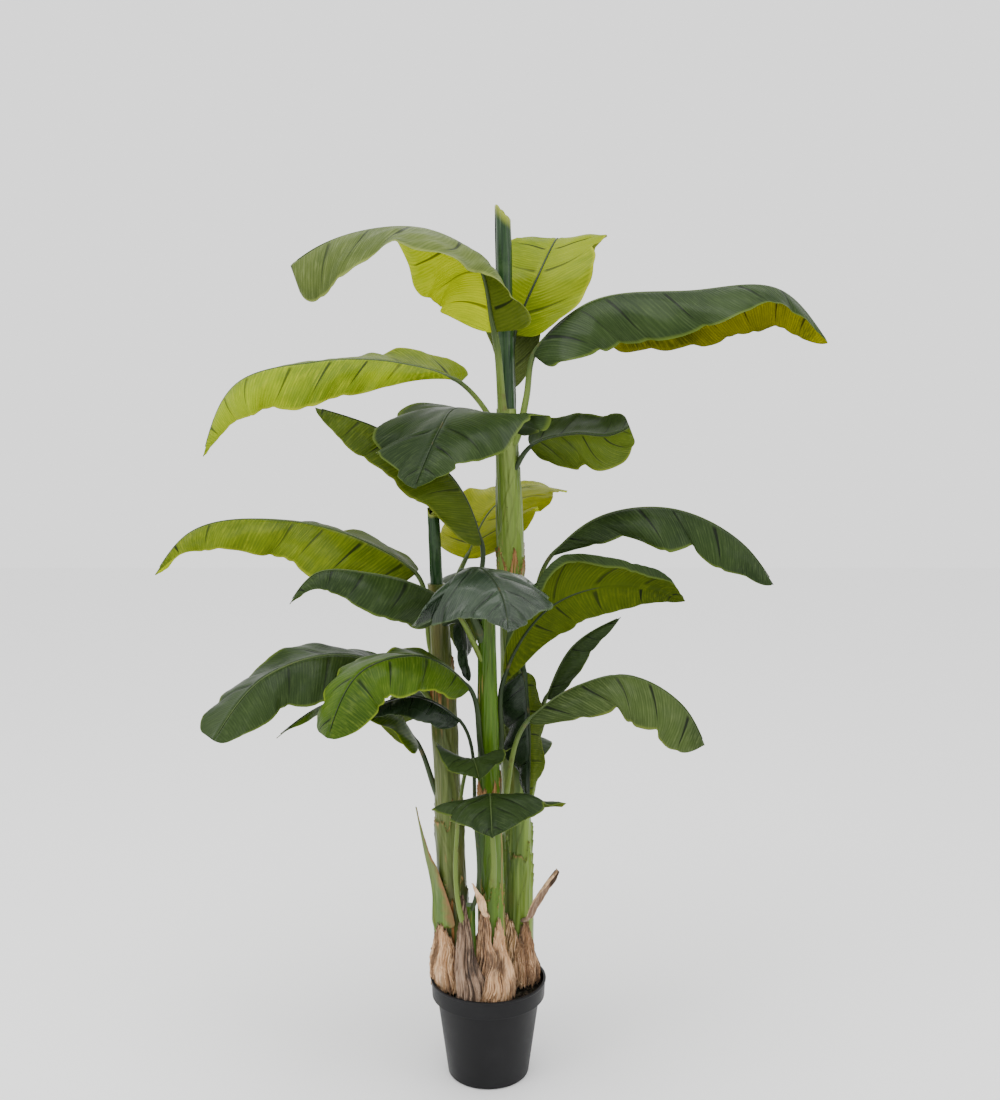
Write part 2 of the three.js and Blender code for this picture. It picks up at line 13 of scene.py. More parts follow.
import bpy
import numpy as np
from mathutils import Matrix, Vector


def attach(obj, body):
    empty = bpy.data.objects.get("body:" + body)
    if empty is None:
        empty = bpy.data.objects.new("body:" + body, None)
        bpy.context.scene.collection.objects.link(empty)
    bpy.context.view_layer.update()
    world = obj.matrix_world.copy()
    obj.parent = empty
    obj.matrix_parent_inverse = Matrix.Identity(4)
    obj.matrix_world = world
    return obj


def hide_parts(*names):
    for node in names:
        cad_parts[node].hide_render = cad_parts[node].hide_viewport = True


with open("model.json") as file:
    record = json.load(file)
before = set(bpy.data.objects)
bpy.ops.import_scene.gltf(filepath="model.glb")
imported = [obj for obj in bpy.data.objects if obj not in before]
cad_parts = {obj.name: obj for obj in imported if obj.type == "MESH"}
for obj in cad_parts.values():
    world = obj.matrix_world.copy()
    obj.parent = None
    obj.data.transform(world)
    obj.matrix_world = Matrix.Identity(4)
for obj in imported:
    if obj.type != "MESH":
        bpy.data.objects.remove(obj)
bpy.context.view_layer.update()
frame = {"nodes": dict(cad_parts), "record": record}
MM = 0.001

# %% [markdown]
# ## Small tools for arrays
#
# A leaf or a stem is described by a few numbers along its length. These helpers read such
# numbers at any place, turn compass headings into directions, and make smooth random
# waves. They take whole arrays, so no loop runs over the points of a mesh.

# %% Reading values and directions
WAVES_TO_THE_UNIT = (0.5, 1.6)  # the least and the greatest, along each coordinate
PEAK = 1.6             # a sum of random waves, made even, seldom passes this


def between(values, t):
    """Evenly spaced values joined by straight lines, read at t from 0 to 1."""
    return np.interp(t, np.linspace(0, 1, len(values)), values)


def fade(x, low, high):
    """0 up to low, 1 from high on, and 3t² - 2t³ on the way."""
    t = np.clip((x - low) / (high - low), 0, 1)
    return t * t * (3 - 2 * t)


def heading(degrees):
    """Horizontal unit vectors: the cosine and the sine of each compass heading, and 0."""
    angle = np.radians(np.asarray(degrees, float))
    return np.stack([np.cos(angle), np.sin(angle), np.zeros_like(angle)], axis=-1)


def unit(vectors):
    """The vectors divided by their lengths."""
    return vectors / np.linalg.norm(vectors, axis=-1, keepdims=True)


def wander(seed, *coordinates, waves=7):
    """A smooth random height of about -1 to 1.

    It is a sum of sine waves whose directions, lengths of 0.6 to 2 units and phases are
    drawn once from the seed, divided by the root of half their number and by PEAK.
    """
    random = np.random.default_rng(seed)
    total = 0
    for _ in range(waves):
        slopes = random.uniform(*WAVES_TO_THE_UNIT, len(coordinates))
        slopes = slopes * random.choice([-1, 1], len(coordinates))
        place = sum(slope * values for slope, values in zip(slopes, coordinates))
        total = total + np.sin(2 * math.pi * (place + random.uniform()))
    return total / math.sqrt(waves / 2) / PEAK


print("a random wave at 0, 1/4 and 1/2:", np.round(wander(1, np.array([0, 0.25, 0.5])), 2))

# %% [markdown]
# ## From a grid of points to a mesh
#
# A surface is an array of rows and columns of points. A closed one joins its last column
# to its first, as a tube does, and may be capped at both ends. Blender takes the corners
# of all faces in one flat list, which foreach_set copies in a moment. Every corner also
# gets a place in the pattern map, so that veins follow the leaf however it bends.

# %% A surface from a grid


def surface(points, pattern, closed=False, capped=False, material=0, swapped=0, **marks):
    """Quads between neighbouring points of a grid of rows and columns.

    pattern holds the two pattern coordinates of each point, with one column more on a
    closed grid. material is a number, or one number for each column of quads. Where
    swapped is 1, a quad that isn't flat is split along its other diagonal. marks are
    further values kept at each point.
    """
    rows, columns = points.shape[:2]
    across = columns if closed else columns - 1
    row, column = np.meshgrid(np.arange(rows - 1), np.arange(across), indexing="ij")
    right = (column + 1) % columns
    quads = np.stack([
        row * columns + column, row * columns + right,
        (row + 1) * columns + right, (row + 1) * columns + column,
    ], axis=-1)
    corners = np.stack([
        pattern[row, column], pattern[row, column + 1],
        pattern[row + 1, column + 1], pattern[row + 1, column],
    ], axis=2)
    swap = np.broadcast_to(swapped, quads.shape[:2])[..., None] == 1
    quads = np.where(swap, np.roll(quads, 1, axis=2), quads).reshape(-1, 4)
    corners = np.where(swap[..., None], np.roll(corners, 1, axis=2), corners).reshape(-1, 2)
    finish = np.broadcast_to(material, (rows - 1, across)).reshape(-1)
    sizes = np.full(len(quads), 4)
    loops = quads.reshape(-1)
    if capped:
        ring = np.arange(columns)
        loops = np.concatenate([loops, ring[::-1], (rows - 1) * columns + ring])
        corners = np.concatenate([corners, pattern[0, ring[::-1]], pattern[-1, ring]])
        sizes = np.concatenate([sizes, [columns, columns]])
        finish = np.concatenate([finish, [finish[0], finish[-1]]])
    marks = {name: np.broadcast_to(value, (rows, columns)).reshape(-1) for name, value in marks.items()}
    return {"points": points.reshape(-1, 3), "loops": loops, "sizes": sizes, "corners": corners,
            "finish": finish, "marks": marks}


print("quads of a grid of 3 by 4 points:", len(surface(np.zeros((3, 4, 3)), np.zeros((3, 4, 2)))["sizes"]))

# %% [markdown]
# ## From surfaces to an object
#
# Blender keeps a mesh as long flat arrays: the points, the corners of all faces one after
# another, and where each face starts. Several surfaces go into one object by adding up
# their point numbers. The object then rides on the plant, gets its slot in the list of
# materials and takes the place of the plain solid that it dresses.

# %% Pieces
SHARP_EDGE = 55        # degrees between two faces from which their edge stays sharp


def piece(name, surfaces, materials, nodes=()):
    """One object from several surfaces, riding on the plant and standing for CAD nodes."""
    mesh = bpy.data.meshes.new(name)
    counts = [len(part["points"]) for part in surfaces]
    starts = np.cumsum([0] + counts[:-1])
    loops = np.concatenate([part["loops"] + start for part, start in zip(surfaces, starts)])
    sizes = np.concatenate([part["sizes"] for part in surfaces])
    mesh.vertices.add(sum(counts))
    mesh.loops.add(len(loops))
    mesh.polygons.add(len(sizes))
    mesh.vertices.foreach_set("co", np.concatenate([part["points"] for part in surfaces]).ravel())
    mesh.loops.foreach_set("vertex_index", loops)
    mesh.polygons.foreach_set("loop_start", np.cumsum(sizes) - sizes)
    mesh.polygons.foreach_set("material_index", np.concatenate([part["finish"] for part in surfaces]))
    mesh.update(calc_edges=True)
    layer = mesh.uv_layers.new(name="Pattern")
    layer.data.foreach_set("uv", np.concatenate([part["corners"] for part in surfaces]).ravel())
    for label in surfaces[0]["marks"]:
        values = np.concatenate([part["marks"][label] for part in surfaces])
        mesh.attributes.new(label, "FLOAT", "POINT").data.foreach_set("value", values)
    mesh.shade_smooth()
    mesh.set_sharp_from_angle(angle=math.radians(SHARP_EDGE))
    for material in materials:
        mesh.materials.append(material)
    made = bpy.data.objects.new(name, mesh)
    bpy.context.collection.objects.link(made)
    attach(made, "root")
    if nodes:
        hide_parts(*nodes)
    return made


def thicken(made, thickness):
    """Gives an open sheet its thickness, half to each side."""
    solid = made.modifiers.new("Thickness", "SOLIDIFY")
    solid.thickness = thickness
    solid.offset = 0
    return made


print("solids that pieces can stand for:", len(frame["nodes"]))

# %% [markdown]
# ## Small tools for materials
#
# A procedural material is a chain of small calculations from a place on the surface to a
# colour, a roughness and a height. These helpers add one node each and return its output,
# so that a recipe reads like a formula. A plain number or colour can stand wherever the
# output of another node can.

# %% Nodes as functions
MIX_COLOURS = (6, 7)   # numbers of a mix node's two colour inputs
MIXED_COLOUR = 2       # and of its colour output


def wire(tree, value, socket):
    """Links another node's output to the socket, or sets it to a plain value."""
    if isinstance(value, bpy.types.NodeSocket):
        tree.links.new(value, socket)
    else:
        socket.default_value = value


def calc(tree, operation, *values):
    """One step of arithmetic."""
    node = tree.nodes.new("ShaderNodeMath")
    node.operation = operation
    for value, socket in zip(values, node.inputs):
        wire(tree, value, socket)
    return node.outputs[0]


def ease(tree, value, low, high, start=0.0, end=1.0):
    """start up to low, end from high on, and a smooth step between."""
    node = tree.nodes.new("ShaderNodeMapRange")
    node.interpolation_type = "SMOOTHSTEP"
    for value, socket in zip((value, low, high, start, end), node.inputs):
        wire(tree, value, socket)
    return node.outputs[0]


def blend(tree, share, first, second):
    """The first colour where share is 0, the second where it is 1."""
    node = tree.nodes.new("ShaderNodeMix")
    node.data_type = "RGBA"
    wire(tree, share, node.inputs[0])
    for value, number in zip((first, second), MIX_COLOURS):
        wire(tree, (*value, 1) if isinstance(value, tuple) else value, node.inputs[number])
    return node.outputs[MIXED_COLOUR]


print("a mix node's colours are its inputs", MIX_COLOURS, "and its output", MIXED_COLOUR)

# %% [markdown]
# ## Random patterns and relief
#
# A noise node gives soft random values at each place. If the place is stretched first, the
# blobs turn into fibres. A bump node bends the shading normal as if the surface had relief,
# without moving any point. An attribute node reads a value that the shape has left at its
# points.

# %% Noise, bumps and marks
MAPPING_SCALE = 3      # number of a mapping node's scale input


def stretched(tree, place, scale):
    """The place with each of its coordinates multiplied."""
    node = tree.nodes.new("ShaderNodeMapping")
    wire(tree, place, node.inputs[0])
    node.inputs[MAPPING_SCALE].default_value = scale
    return node.outputs[0]


def cloud(tree, place, scale, detail=3.0, roughness=0.55):
    """Soft random values from 0 to 1, about scale blobs to the unit, or to each axis its own."""
    if isinstance(scale, tuple):
        place = stretched(tree, place, scale)
        scale = 1.0
    node = tree.nodes.new("ShaderNodeTexNoise")
    wire(tree, place, node.inputs["Vector"])
    node.inputs["Scale"].default_value = scale
    node.inputs["Detail"].default_value = detail
    node.inputs["Roughness"].default_value = roughness
    return node.outputs[0]


def raised(tree, height, distance, strength=1.0):
    """Shading as if the surface rose by height times distance."""
    node = tree.nodes.new("ShaderNodeBump")
    node.inputs["Strength"].default_value = strength
    node.inputs["Distance"].default_value = distance
    wire(tree, height, node.inputs["Height"])
    return node.outputs[0]


def mark(tree, name):
    """The value of that name kept at the points of the mesh."""
    node = tree.nodes.new("ShaderNodeAttribute")
    node.attribute_name = name
    return node.outputs["Fac"]


print("a mapping node's scale is its input", MAPPING_SCALE)

# %% [markdown]
# ## Starting and ending a material
#
# A new material comes with one shader node, which takes a colour, a roughness and a bent
# normal. Each recipe starts from the place in the object or on the pattern map and ends at
# those three sockets, so the first and the last lines of all recipes are two functions.

# %% Recipe and dress


def recipe(name, coat=0.0, coat_roughness=0.3, specular=0.5, sheen=0.0):
    """A new material with its node tree, its shader and the places to paint by."""
    material = bpy.data.materials.new(name)
    material.use_nodes = True
    tree = material.node_tree
    shader = tree.nodes["Principled BSDF"]
    shader.inputs["Coat Weight"].default_value = coat
    shader.inputs["Coat Roughness"].default_value = coat_roughness
    shader.inputs["Specular IOR Level"].default_value = specular
    shader.inputs["Sheen Weight"].default_value = sheen
    where = tree.nodes.new("ShaderNodeTexCoord").outputs["Object"]
    uv = tree.nodes.new("ShaderNodeUVMap")
    uv.uv_map = "Pattern"
    return material, tree, shader, where, uv.outputs[0]


def pattern_axes(tree, uv):
    """The pattern map's first and second coordinate."""
    split = tree.nodes.new("ShaderNodeSeparateXYZ")
    wire(tree, uv, split.inputs[0])
    return split.outputs[0], split.outputs[1]


def dress(tree, shader, colour, roughness, normal):
    """Gives the shader its colour, roughness and bent normal."""
    wire(tree, colour, shader.inputs["Base Color"])
    wire(tree, roughness, shader.inputs["Roughness"])
    wire(tree, normal, shader.inputs["Normal"])


print("materials so far:", len(bpy.data.materials))

# %% [markdown]
# ## What a leaf is finished with
#
# The leaves are printed and coated cloth. The upper face is green with fine raised side
# veins, darkened in their grooves as painted shade and lightened on their ridges as painted
# sheen, a few strong dark creased veins and a thin pale margin. The underside is a lively
# yellow-green. The pattern map counts across the blade from 0 at the left margin to 1 at
# the right one, and along it in strong veins, so a vein is where that count is whole. A
# painted picture could show the veins too, but a formula of that map stays sharp from near
# by and follows every bend.

# %% Leaf finishes
FINE_VEINS = 13        # fine veins between two strong ones
# The deep colour in a fine vein's groove is painted shade, and the pale colour on its ridge is painted sheen.
FINE_GROOVE_SHADE = 0.24       # how far the groove of a fine vein turns to the deep colour
FINE_RIDGE_SHEEN = 0.20       # and how far its ridge turns to the pale one
VEIN_AT_MIDRIB = 0.062  # width of a strong vein, as a share of the way to the next
VEIN_AT_MARGIN = 0.018
STREAKS = (5.0, 14.0, 1.0)  # to the width of the blade, and to the way between strong veins
LEAF_BUMP = 0.0005     # height of the shaded relief in metres


def vein_lines(tree, side, along):
    """1 in a strong vein: where along is nearly whole, away from the midrib and the margin."""
    offset = calc(tree, "SUBTRACT", calc(tree, "FRACT", calc(tree, "ADD", along, 0.5)), 0.5)
    width = ease(tree, side, 0.1, 0.9, VEIN_AT_MIDRIB, VEIN_AT_MARGIN)
    near = ease(tree, calc(tree, "DIVIDE", calc(tree, "ABSOLUTE", offset), width), 0.35, 1.0, 1.0, 0.0)
    middle = calc(tree, "MULTIPLY", ease(tree, side, 0.05, 0.16), ease(tree, side, 0.66, 0.92, 1.0, 0.0))
    return calc(tree, "MULTIPLY", calc(tree, "MULTIPLY", near, middle), mark(tree, "strength"))


def leaf_finish(name, body, deep, pale, edge, vein, roughness, coat, specular=0.05):
    """Body colour mottled towards deep and pale, with veins and a margin of their own, and painted shade and
    sheen on the fine veins.
    """
    material, tree, shader, where, uv = recipe(name, coat=coat, coat_roughness=0.22, specular=specular)
    across, along = pattern_axes(tree, uv)
    side = calc(tree, "ABSOLUTE", calc(tree, "MULTIPLY_ADD", across, 2.0, -1.0))

    mottle = ease(tree, cloud(tree, where, 7.0), 0.35, 0.68)
    streaks = cloud(tree, uv, STREAKS, 4.0, 0.65)
    colour = blend(tree, mottle, body, deep)
    colour = blend(tree, ease(tree, streaks, 0.44, 0.78, 0.0, 0.75), colour, pale)

    wave = calc(tree, "SINE", calc(tree, "MULTIPLY", along, FINE_VEINS * 2 * math.pi))
    fine = calc(tree, "MULTIPLY", wave, ease(tree, side, 0.0, 0.12))
    # Painted shade in the grooves of the fine veins and painted sheen on their ridges.
    colour = blend(tree, ease(tree, fine, 0.0, 1.0, 0.0, FINE_GROOVE_SHADE), colour, deep)
    colour = blend(tree, ease(tree, fine, -0.6, -1.0, 0.0, FINE_RIDGE_SHEEN), colour, pale)
    strong = vein_lines(tree, side, along)
    colour = blend(tree, calc(tree, "MULTIPLY", strong, 0.95), colour, vein)

    margin = ease(tree, side, 0.93, 0.995)
    colour = blend(tree, calc(tree, "MULTIPLY", margin, 0.8), colour, edge)
    midrib = ease(tree, side, 0.010, 0.035, 1.0, 0.0)
    colour = blend(tree, calc(tree, "MULTIPLY", midrib, 0.25), colour, deep)

    gloss = ease(tree, cloud(tree, where, 16.0, 2.0), 0.3, 0.7, roughness - 0.05, roughness + 0.08)
    height = calc(tree, "MULTIPLY_ADD", streaks, 0.8, calc(tree, "MULTIPLY", fine, -0.7))
    dress(tree, shader, colour, gloss, raised(tree, height, LEAF_BUMP, 0.4))
    return material


print("fine veins between two strong ones:", FINE_VEINS)

# %% [markdown]
# ## The colours of the leaves
#
# Each row holds a material's name, its body colour, the deep and the pale colour that it is
# mottled with, the colours of its margin and its veins, and then its roughness, its coat
# and, where it isn't the usual one, its specular level. The colours were chosen by
# comparing renders with the photo.

# %% Leaf colours
LEAF_FINISHES = {
    "dark": ("leaf_top_dark", (0.021, 0.040, 0.008), (0.010, 0.022, 0.005), (0.048, 0.076, 0.022),
             (0.085, 0.125, 0.014), (0.003, 0.006, 0.002), 0.40, 0.06, 0.07),
    "deep": ("leaf_top_deep", (0.011, 0.024, 0.009), (0.005, 0.012, 0.005), (0.030, 0.048, 0.022),
             (0.034, 0.060, 0.014), (0.002, 0.005, 0.002), 0.24, 0.22, 0.15),
    # The glossy finish is the deep one made lighter and greyer, partly as painted sheen, besides its stronger
    # coat.
    "glossy": ("leaf_top_glossy_painted_sheen", (0.020, 0.040, 0.018), (0.009, 0.020, 0.009), (0.066, 0.096, 0.050),
               (0.050, 0.085, 0.022), (0.003, 0.006, 0.003), 0.30, 0.32, 0.25),
    "moss": ("leaf_top_moss", (0.050, 0.078, 0.018), (0.024, 0.042, 0.009), (0.104, 0.138, 0.046),
             (0.130, 0.165, 0.028), (0.005, 0.009, 0.003), 0.42, 0.06),
    "mid": ("leaf_top_mid", (0.082, 0.112, 0.022), (0.044, 0.066, 0.012), (0.150, 0.185, 0.060),
            (0.190, 0.230, 0.050), (0.010, 0.016, 0.004), 0.44, 0.04),
    "bright": ("leaf_top_bright", (0.047, 0.095, 0.005), (0.022, 0.050, 0.004), (0.101, 0.148, 0.016),
               (0.168, 0.228, 0.014), (0.007, 0.016, 0.002), 0.42, 0.06),
    "lively": ("leaf_top_lively", (0.105, 0.150, 0.003), (0.048, 0.078, 0.003), (0.190, 0.230, 0.010),
               (0.200, 0.230, 0.012), (0.008, 0.016, 0.002), 0.46, 0.04),
    "yellow": ("leaf_top_yellow", (0.201, 0.277, 0.003), (0.098, 0.153, 0.003), (0.317, 0.366, 0.010),
               (0.293, 0.330, 0.011), (0.015, 0.028, 0.002), 0.46, 0.04),
    "pale": ("leaf_top_pale", (0.165, 0.212, 0.002), (0.098, 0.142, 0.002), (0.244, 0.283, 0.010),
             (0.268, 0.295, 0.010), (0.010, 0.017, 0.002), 0.46, 0.04),
    "vivid": ("leaf_top_vivid", (0.230, 0.250, 0.002), (0.130, 0.160, 0.002), (0.330, 0.340, 0.004),
              (0.280, 0.290, 0.006), (0.014, 0.024, 0.002), 0.48, 0.03),
    "lime": ("leaf_under_lime", (0.488, 0.568, 0.001), (0.277, 0.369, 0.001), (0.620, 0.667, 0.001),
             (0.449, 0.497, 0.004), (0.029, 0.043, 0.001), 0.55, 0.0, 0.02),
    "olive": ("leaf_under_olive", (0.070, 0.100, 0.006), (0.036, 0.058, 0.004), (0.120, 0.150, 0.014),
              (0.150, 0.190, 0.016), (0.008, 0.014, 0.002), 0.50, 0.0),
    "stripe": ("leaf_under_stripe", (0.230, 0.230, 0.002), (0.040, 0.052, 0.003), (0.350, 0.335, 0.004),
               (0.190, 0.190, 0.006), (0.020, 0.020, 0.002), 0.52, 0.0),
    "patched": ("leaf_under_patched", (0.052, 0.078, 0.003), (0.024, 0.040, 0.003), (0.098, 0.124, 0.004),
                (0.084, 0.114, 0.009), (0.004, 0.008, 0.002), 0.50, 0.0),
    "green": ("leaf_under_green", (0.050, 0.078, 0.005), (0.024, 0.042, 0.003), (0.100, 0.130, 0.012),
              (0.130, 0.160, 0.014), (0.006, 0.010, 0.002), 0.50, 0.02),
}
FACES = {name: leaf_finish(*values) for name, values in LEAF_FINISHES.items()}
print("leaf finishes:", len(FACES))

# %% [markdown]
# ## What stalks and stems are finished with
#
# A stalk is green at the stem and darkens along the blade. A false stem is made of wrapped
# sheaths: pale green with a whitish bloom, fine lengthwise fibres, rust along the free
# edges and dry brown skirts where a sheath has torn. How dry a place is and how near an
# edge it lies are worked out with the shape and kept at the points, because the pattern
# follows the wrapping and not the height alone.

# %% Stalk and stem finishes
FIBRES = (230.0, 230.0, 5.0)  # fibres to the metre across a stem, and changes along it
BROWN_SPOT = (0.10, 0.075, 0.022)
TAN_PATCH = (0.175, 0.115, 0.040)
DARK_SPECK = (0.060, 0.050, 0.016)
RUST_DARK = (0.190, 0.075, 0.018)
RUST_PALE = (0.400, 0.225, 0.090)
FREE_EDGE = (0.050, 0.050, 0.010)


def stalk_finish(name, foot, blade, pale):
    """Foot colour on the petiole, blade colour along the midrib, with long fibres."""
    material, tree, shader, where, uv = recipe(name, coat=0.06, specular=0.2)
    _, along = pattern_axes(tree, uv)
    colour = blend(tree, ease(tree, along, 0.55, 1.05), foot, blade)
    fibres = cloud(tree, uv, (26.0, 3.0, 1.0), 4.0, 0.6)
    colour = blend(tree, ease(tree, fibres, 0.42, 0.8, 0.0, 0.7), colour, pale)
    spots = ease(tree, cloud(tree, where, 38.0, 2.0), 0.60, 0.74, 0.0, 0.55)
    colour = blend(tree, spots, colour, BROWN_SPOT)
    dress(tree, shader, colour, ease(tree, fibres, 0.3, 0.8, 0.36, 0.52), raised(tree, fibres, 0.0008, 0.6))
    return material


def stem_finish(name, body, pale, deep):
    """Smooth green sheaths with a bloom, long fibres, thin edges and a few dry skirts."""
    material, tree, shader, where, _ = recipe(name, coat=0.05, coat_roughness=0.3, specular=0.2)
    dry, rim = mark(tree, "dry"), mark(tree, "rim")
    fibres = cloud(tree, where, FIBRES, 3.0, 0.5)
    broad = cloud(tree, where, (26.0, 26.0, 2.2), 2.0)
    colour = blend(tree, ease(tree, broad, 0.38, 0.60), deep, body)
    colour = blend(tree, ease(tree, fibres, 0.46, 0.74, 0.0, 0.50), colour, pale)
    colour = blend(tree, ease(tree, fibres, 0.44, 0.30, 0.0, 0.60), colour, deep)
    tan = ease(tree, cloud(tree, where, (13.0, 13.0, 3.4), 2.0), 0.56, 0.72, 0.0, 0.42)
    colour = blend(tree, tan, colour, TAN_PATCH)
    bloom = ease(tree, cloud(tree, where, (14.0, 14.0, 1.6), 2.0), 0.48, 0.72)
    colour = blend(tree, calc(tree, "MULTIPLY", bloom, 0.75), colour, pale)
    specks = ease(tree, cloud(tree, where, 170.0, 2.0), 0.68, 0.76, 0.0, 0.6)
    colour = blend(tree, specks, colour, DARK_SPECK)
    rust = blend(tree, ease(tree, fibres, 0.4, 0.65), RUST_DARK, RUST_PALE)
    ragged = calc(tree, "ADD", dry, calc(tree, "MULTIPLY_ADD", fibres, 0.8, -0.4))
    colour = blend(tree, ease(tree, ragged, 0.36, 0.70), colour, rust)
    colour = blend(tree, rim, colour, FREE_EDGE)
    dress(tree, shader, colour, ease(tree, ragged, 0.2, 0.7, 0.38, 0.75), raised(tree, fibres, 0.0008, 0.5))
    return material


STALKS = {
    "green": stalk_finish("stalk_green", (0.110, 0.165, 0.026), (0.030, 0.055, 0.012), (0.200, 0.260, 0.070)),
    "dark": stalk_finish("stalk_dark", (0.024, 0.042, 0.012), (0.010, 0.022, 0.006), (0.050, 0.075, 0.022)),
}
stem_green = stem_finish("stem_green", (0.125, 0.200, 0.021), (0.240, 0.310, 0.080), (0.048, 0.088, 0.011))
# The left stem's olive copy and the front stem's and sucker's vivid copy of the stem finish are darker than
# the tall stem's, partly their own colour and partly painted shade.
stem_olive_shaded = stem_finish("stem_olive_shaded", (0.078, 0.112, 0.018), (0.165, 0.180, 0.064), (0.036, 0.052, 0.010))
stem_vivid_shaded = stem_finish("stem_vivid_shaded", (0.055, 0.125, 0.005), (0.120, 0.200, 0.018), (0.020, 0.056, 0.003))
print("stalk and stem finishes ready")

# %% [markdown]
# ## What the dry sheaths are finished with
#
# A dry sheath is papery: pale on its ridges, streaked along its fibres and darkened in its
# hollows as painted shade. The shape tells the finish where the hollows are, by a value at
# each point. The bract is still green and turns brown towards one edge only.

# %% Bract and husk finishes
GRAIN = (260.0, 260.0, 13.0)  # fibres of a husk to the metre, and changes along them
TORN_RIM = (0.040, 0.022, 0.012)


def bract_finish():
    """A green sheath with fibres along it that turns brown towards one edge."""
    material, tree, shader, where, uv = recipe("bract_green", coat=0.08, specular=0.35)
    across, along = pattern_axes(tree, uv)
    fibres = cloud(tree, where, (240.0, 240.0, 7.0), 3.0, 0.5)
    colour = blend(tree, ease(tree, fibres, 0.4, 0.7), (0.055, 0.110, 0.008), (0.115, 0.185, 0.024))
    upper = ease(tree, along, 1.2, 3.2)
    colour = blend(tree, calc(tree, "MULTIPLY", upper, 0.6), colour, (0.130, 0.160, 0.050))
    from_edge = calc(tree, "SUBTRACT", 0.60, across)
    uneven = calc(tree, "MULTIPLY_ADD", cloud(tree, where, 45.0), 0.5, from_edge)
    colour = blend(tree, ease(tree, uneven, 0.60, 0.86), colour, (0.200, 0.095, 0.026))
    dress(tree, shader, colour, 0.45, raised(tree, fibres, 0.0008, 0.6))
    return material


def husk_finish(name, body, pale, dark):
    """Papery sheath: pale ridges, hollows darkened as painted shade, dark streaks and specks along it."""
    material, tree, shader, where, _ = recipe(name, specular=0.2, sheen=0.1)
    grain = cloud(tree, where, GRAIN, 4.0, 0.6)
    patches = cloud(tree, where, (40.0, 40.0, 12.0), 4.0, 0.65)
    colour = blend(tree, ease(tree, grain, 0.36, 0.66), body, pale)
    # Painted shade: the deep folds turn towards the dark colour.
    colour = blend(tree, calc(tree, "MULTIPLY", mark(tree, "hollow"), 0.85), colour, dark)
    colour = blend(tree, ease(tree, patches, 0.48, 0.62, 0.0, 0.78), colour, dark)
    colour = blend(tree, ease(tree, grain, 0.60, 0.70, 0.0, 0.7), colour, dark)
    colour = blend(tree, calc(tree, "MULTIPLY", mark(tree, "rim"), 0.7), colour, TORN_RIM)
    dress(tree, shader, colour, 0.85, raised(tree, calc(tree, "ADD", grain, patches), 0.0018, 0.9))
    return material


bract_green = bract_finish()
PAPERS = {
    "tan": husk_finish("husk_tan", (0.570, 0.340, 0.170), (0.740, 0.510, 0.310), (0.110, 0.058, 0.032)),
    "brown": husk_finish("husk_brown", (0.380, 0.215, 0.110), (0.560, 0.360, 0.210), (0.050, 0.028, 0.018)),
    "dark": husk_finish("husk_dark", (0.200, 0.125, 0.080), (0.360, 0.250, 0.170), (0.034, 0.021, 0.015)),
}
print("papers:", ", ".join(PAPERS))

# %% [markdown]
# ## The sizes of the plant
#
# All sizes are in millimetres, as they would be measured on the plant. A stem is given by
# its foot, its top and its two radii, and by the heights at which old sheaths were torn
# off. A rolled leaf goes on from the top of its stem to a tip that is cut on a slant.

# %% Stems and rolled leaves
SOIL_TOP = 185
STEM_FOOT = SOIL_TOP + 0.3
FLARE_HEIGHT = 26      # how fast a torn sheath edge flares
FOOT_FLARE = 3         # extra radius of a stem at the soil
STEMS = {
    "tall": dict(
        foot=[63, 34], top=[37, 28, 1400], foot_radius=35, top_radius=21, bow=3,
        sheath_ends=[1092, 720, 480], lip=5,
    ),
    "left": dict(
        foot=[-69, 2], top=[-104, -6, 1050], foot_radius=35, top_radius=19, bow=4,
        sheath_ends=[860, 560, 400], lip=4,
    ),
    "front": dict(
        foot=[8, -50], top=[-2, -52, 1000], foot_radius=30, top_radius=17, bow=0,
        sheath_ends=[640, 420], lip=3,
    ),
    "sucker": dict(
        foot=[-36, -82], top=[-38, -76, 400], foot_radius=14, top_radius=12, bow=0,
        sheath_ends=[], lip=0,
    ),
}
SPEARS = {
    "tall": dict(tip=[30, 28, 1804], radius=19.5, tip_radius=18, slant=40, slant_facing=180),
    "left": dict(tip=[-110, -10, 1210], radius=15, tip_radius=14, slant=20, slant_facing=100),
}

print("stems:", len(STEMS), "rolled leaves:", len(SPEARS))

# %% [markdown]
# ## The leaves as numbers
#
# A leaf starts at a height on its stem. The line of its midrib runs from there, over a rise
# if it has one, to the base of the blade, through its bends and to its tip. turn is the
# compass heading of the blade's flat side, from base to tip. Then come the widths of its
# two halves and the angles in degrees by which each half hangs, also from base to tip.
# Nearly the same numbers shape the plain solids that carry the plant's weight, so the fine
# leaves lie where the solids are.
#
# The rest is given only where a leaf needs it. rounded says how bluntly the outline starts
# and ends, with rounded_left for a left half of its own. roll turns the blade about its
# midrib, plumb is the share by which its halves sag straight down, and begin is the share of
# its length that stays bare. stalk is the radius of the petiole, and sheath_facing the
# heading of the sheath on the stem where it isn't the petiole's.

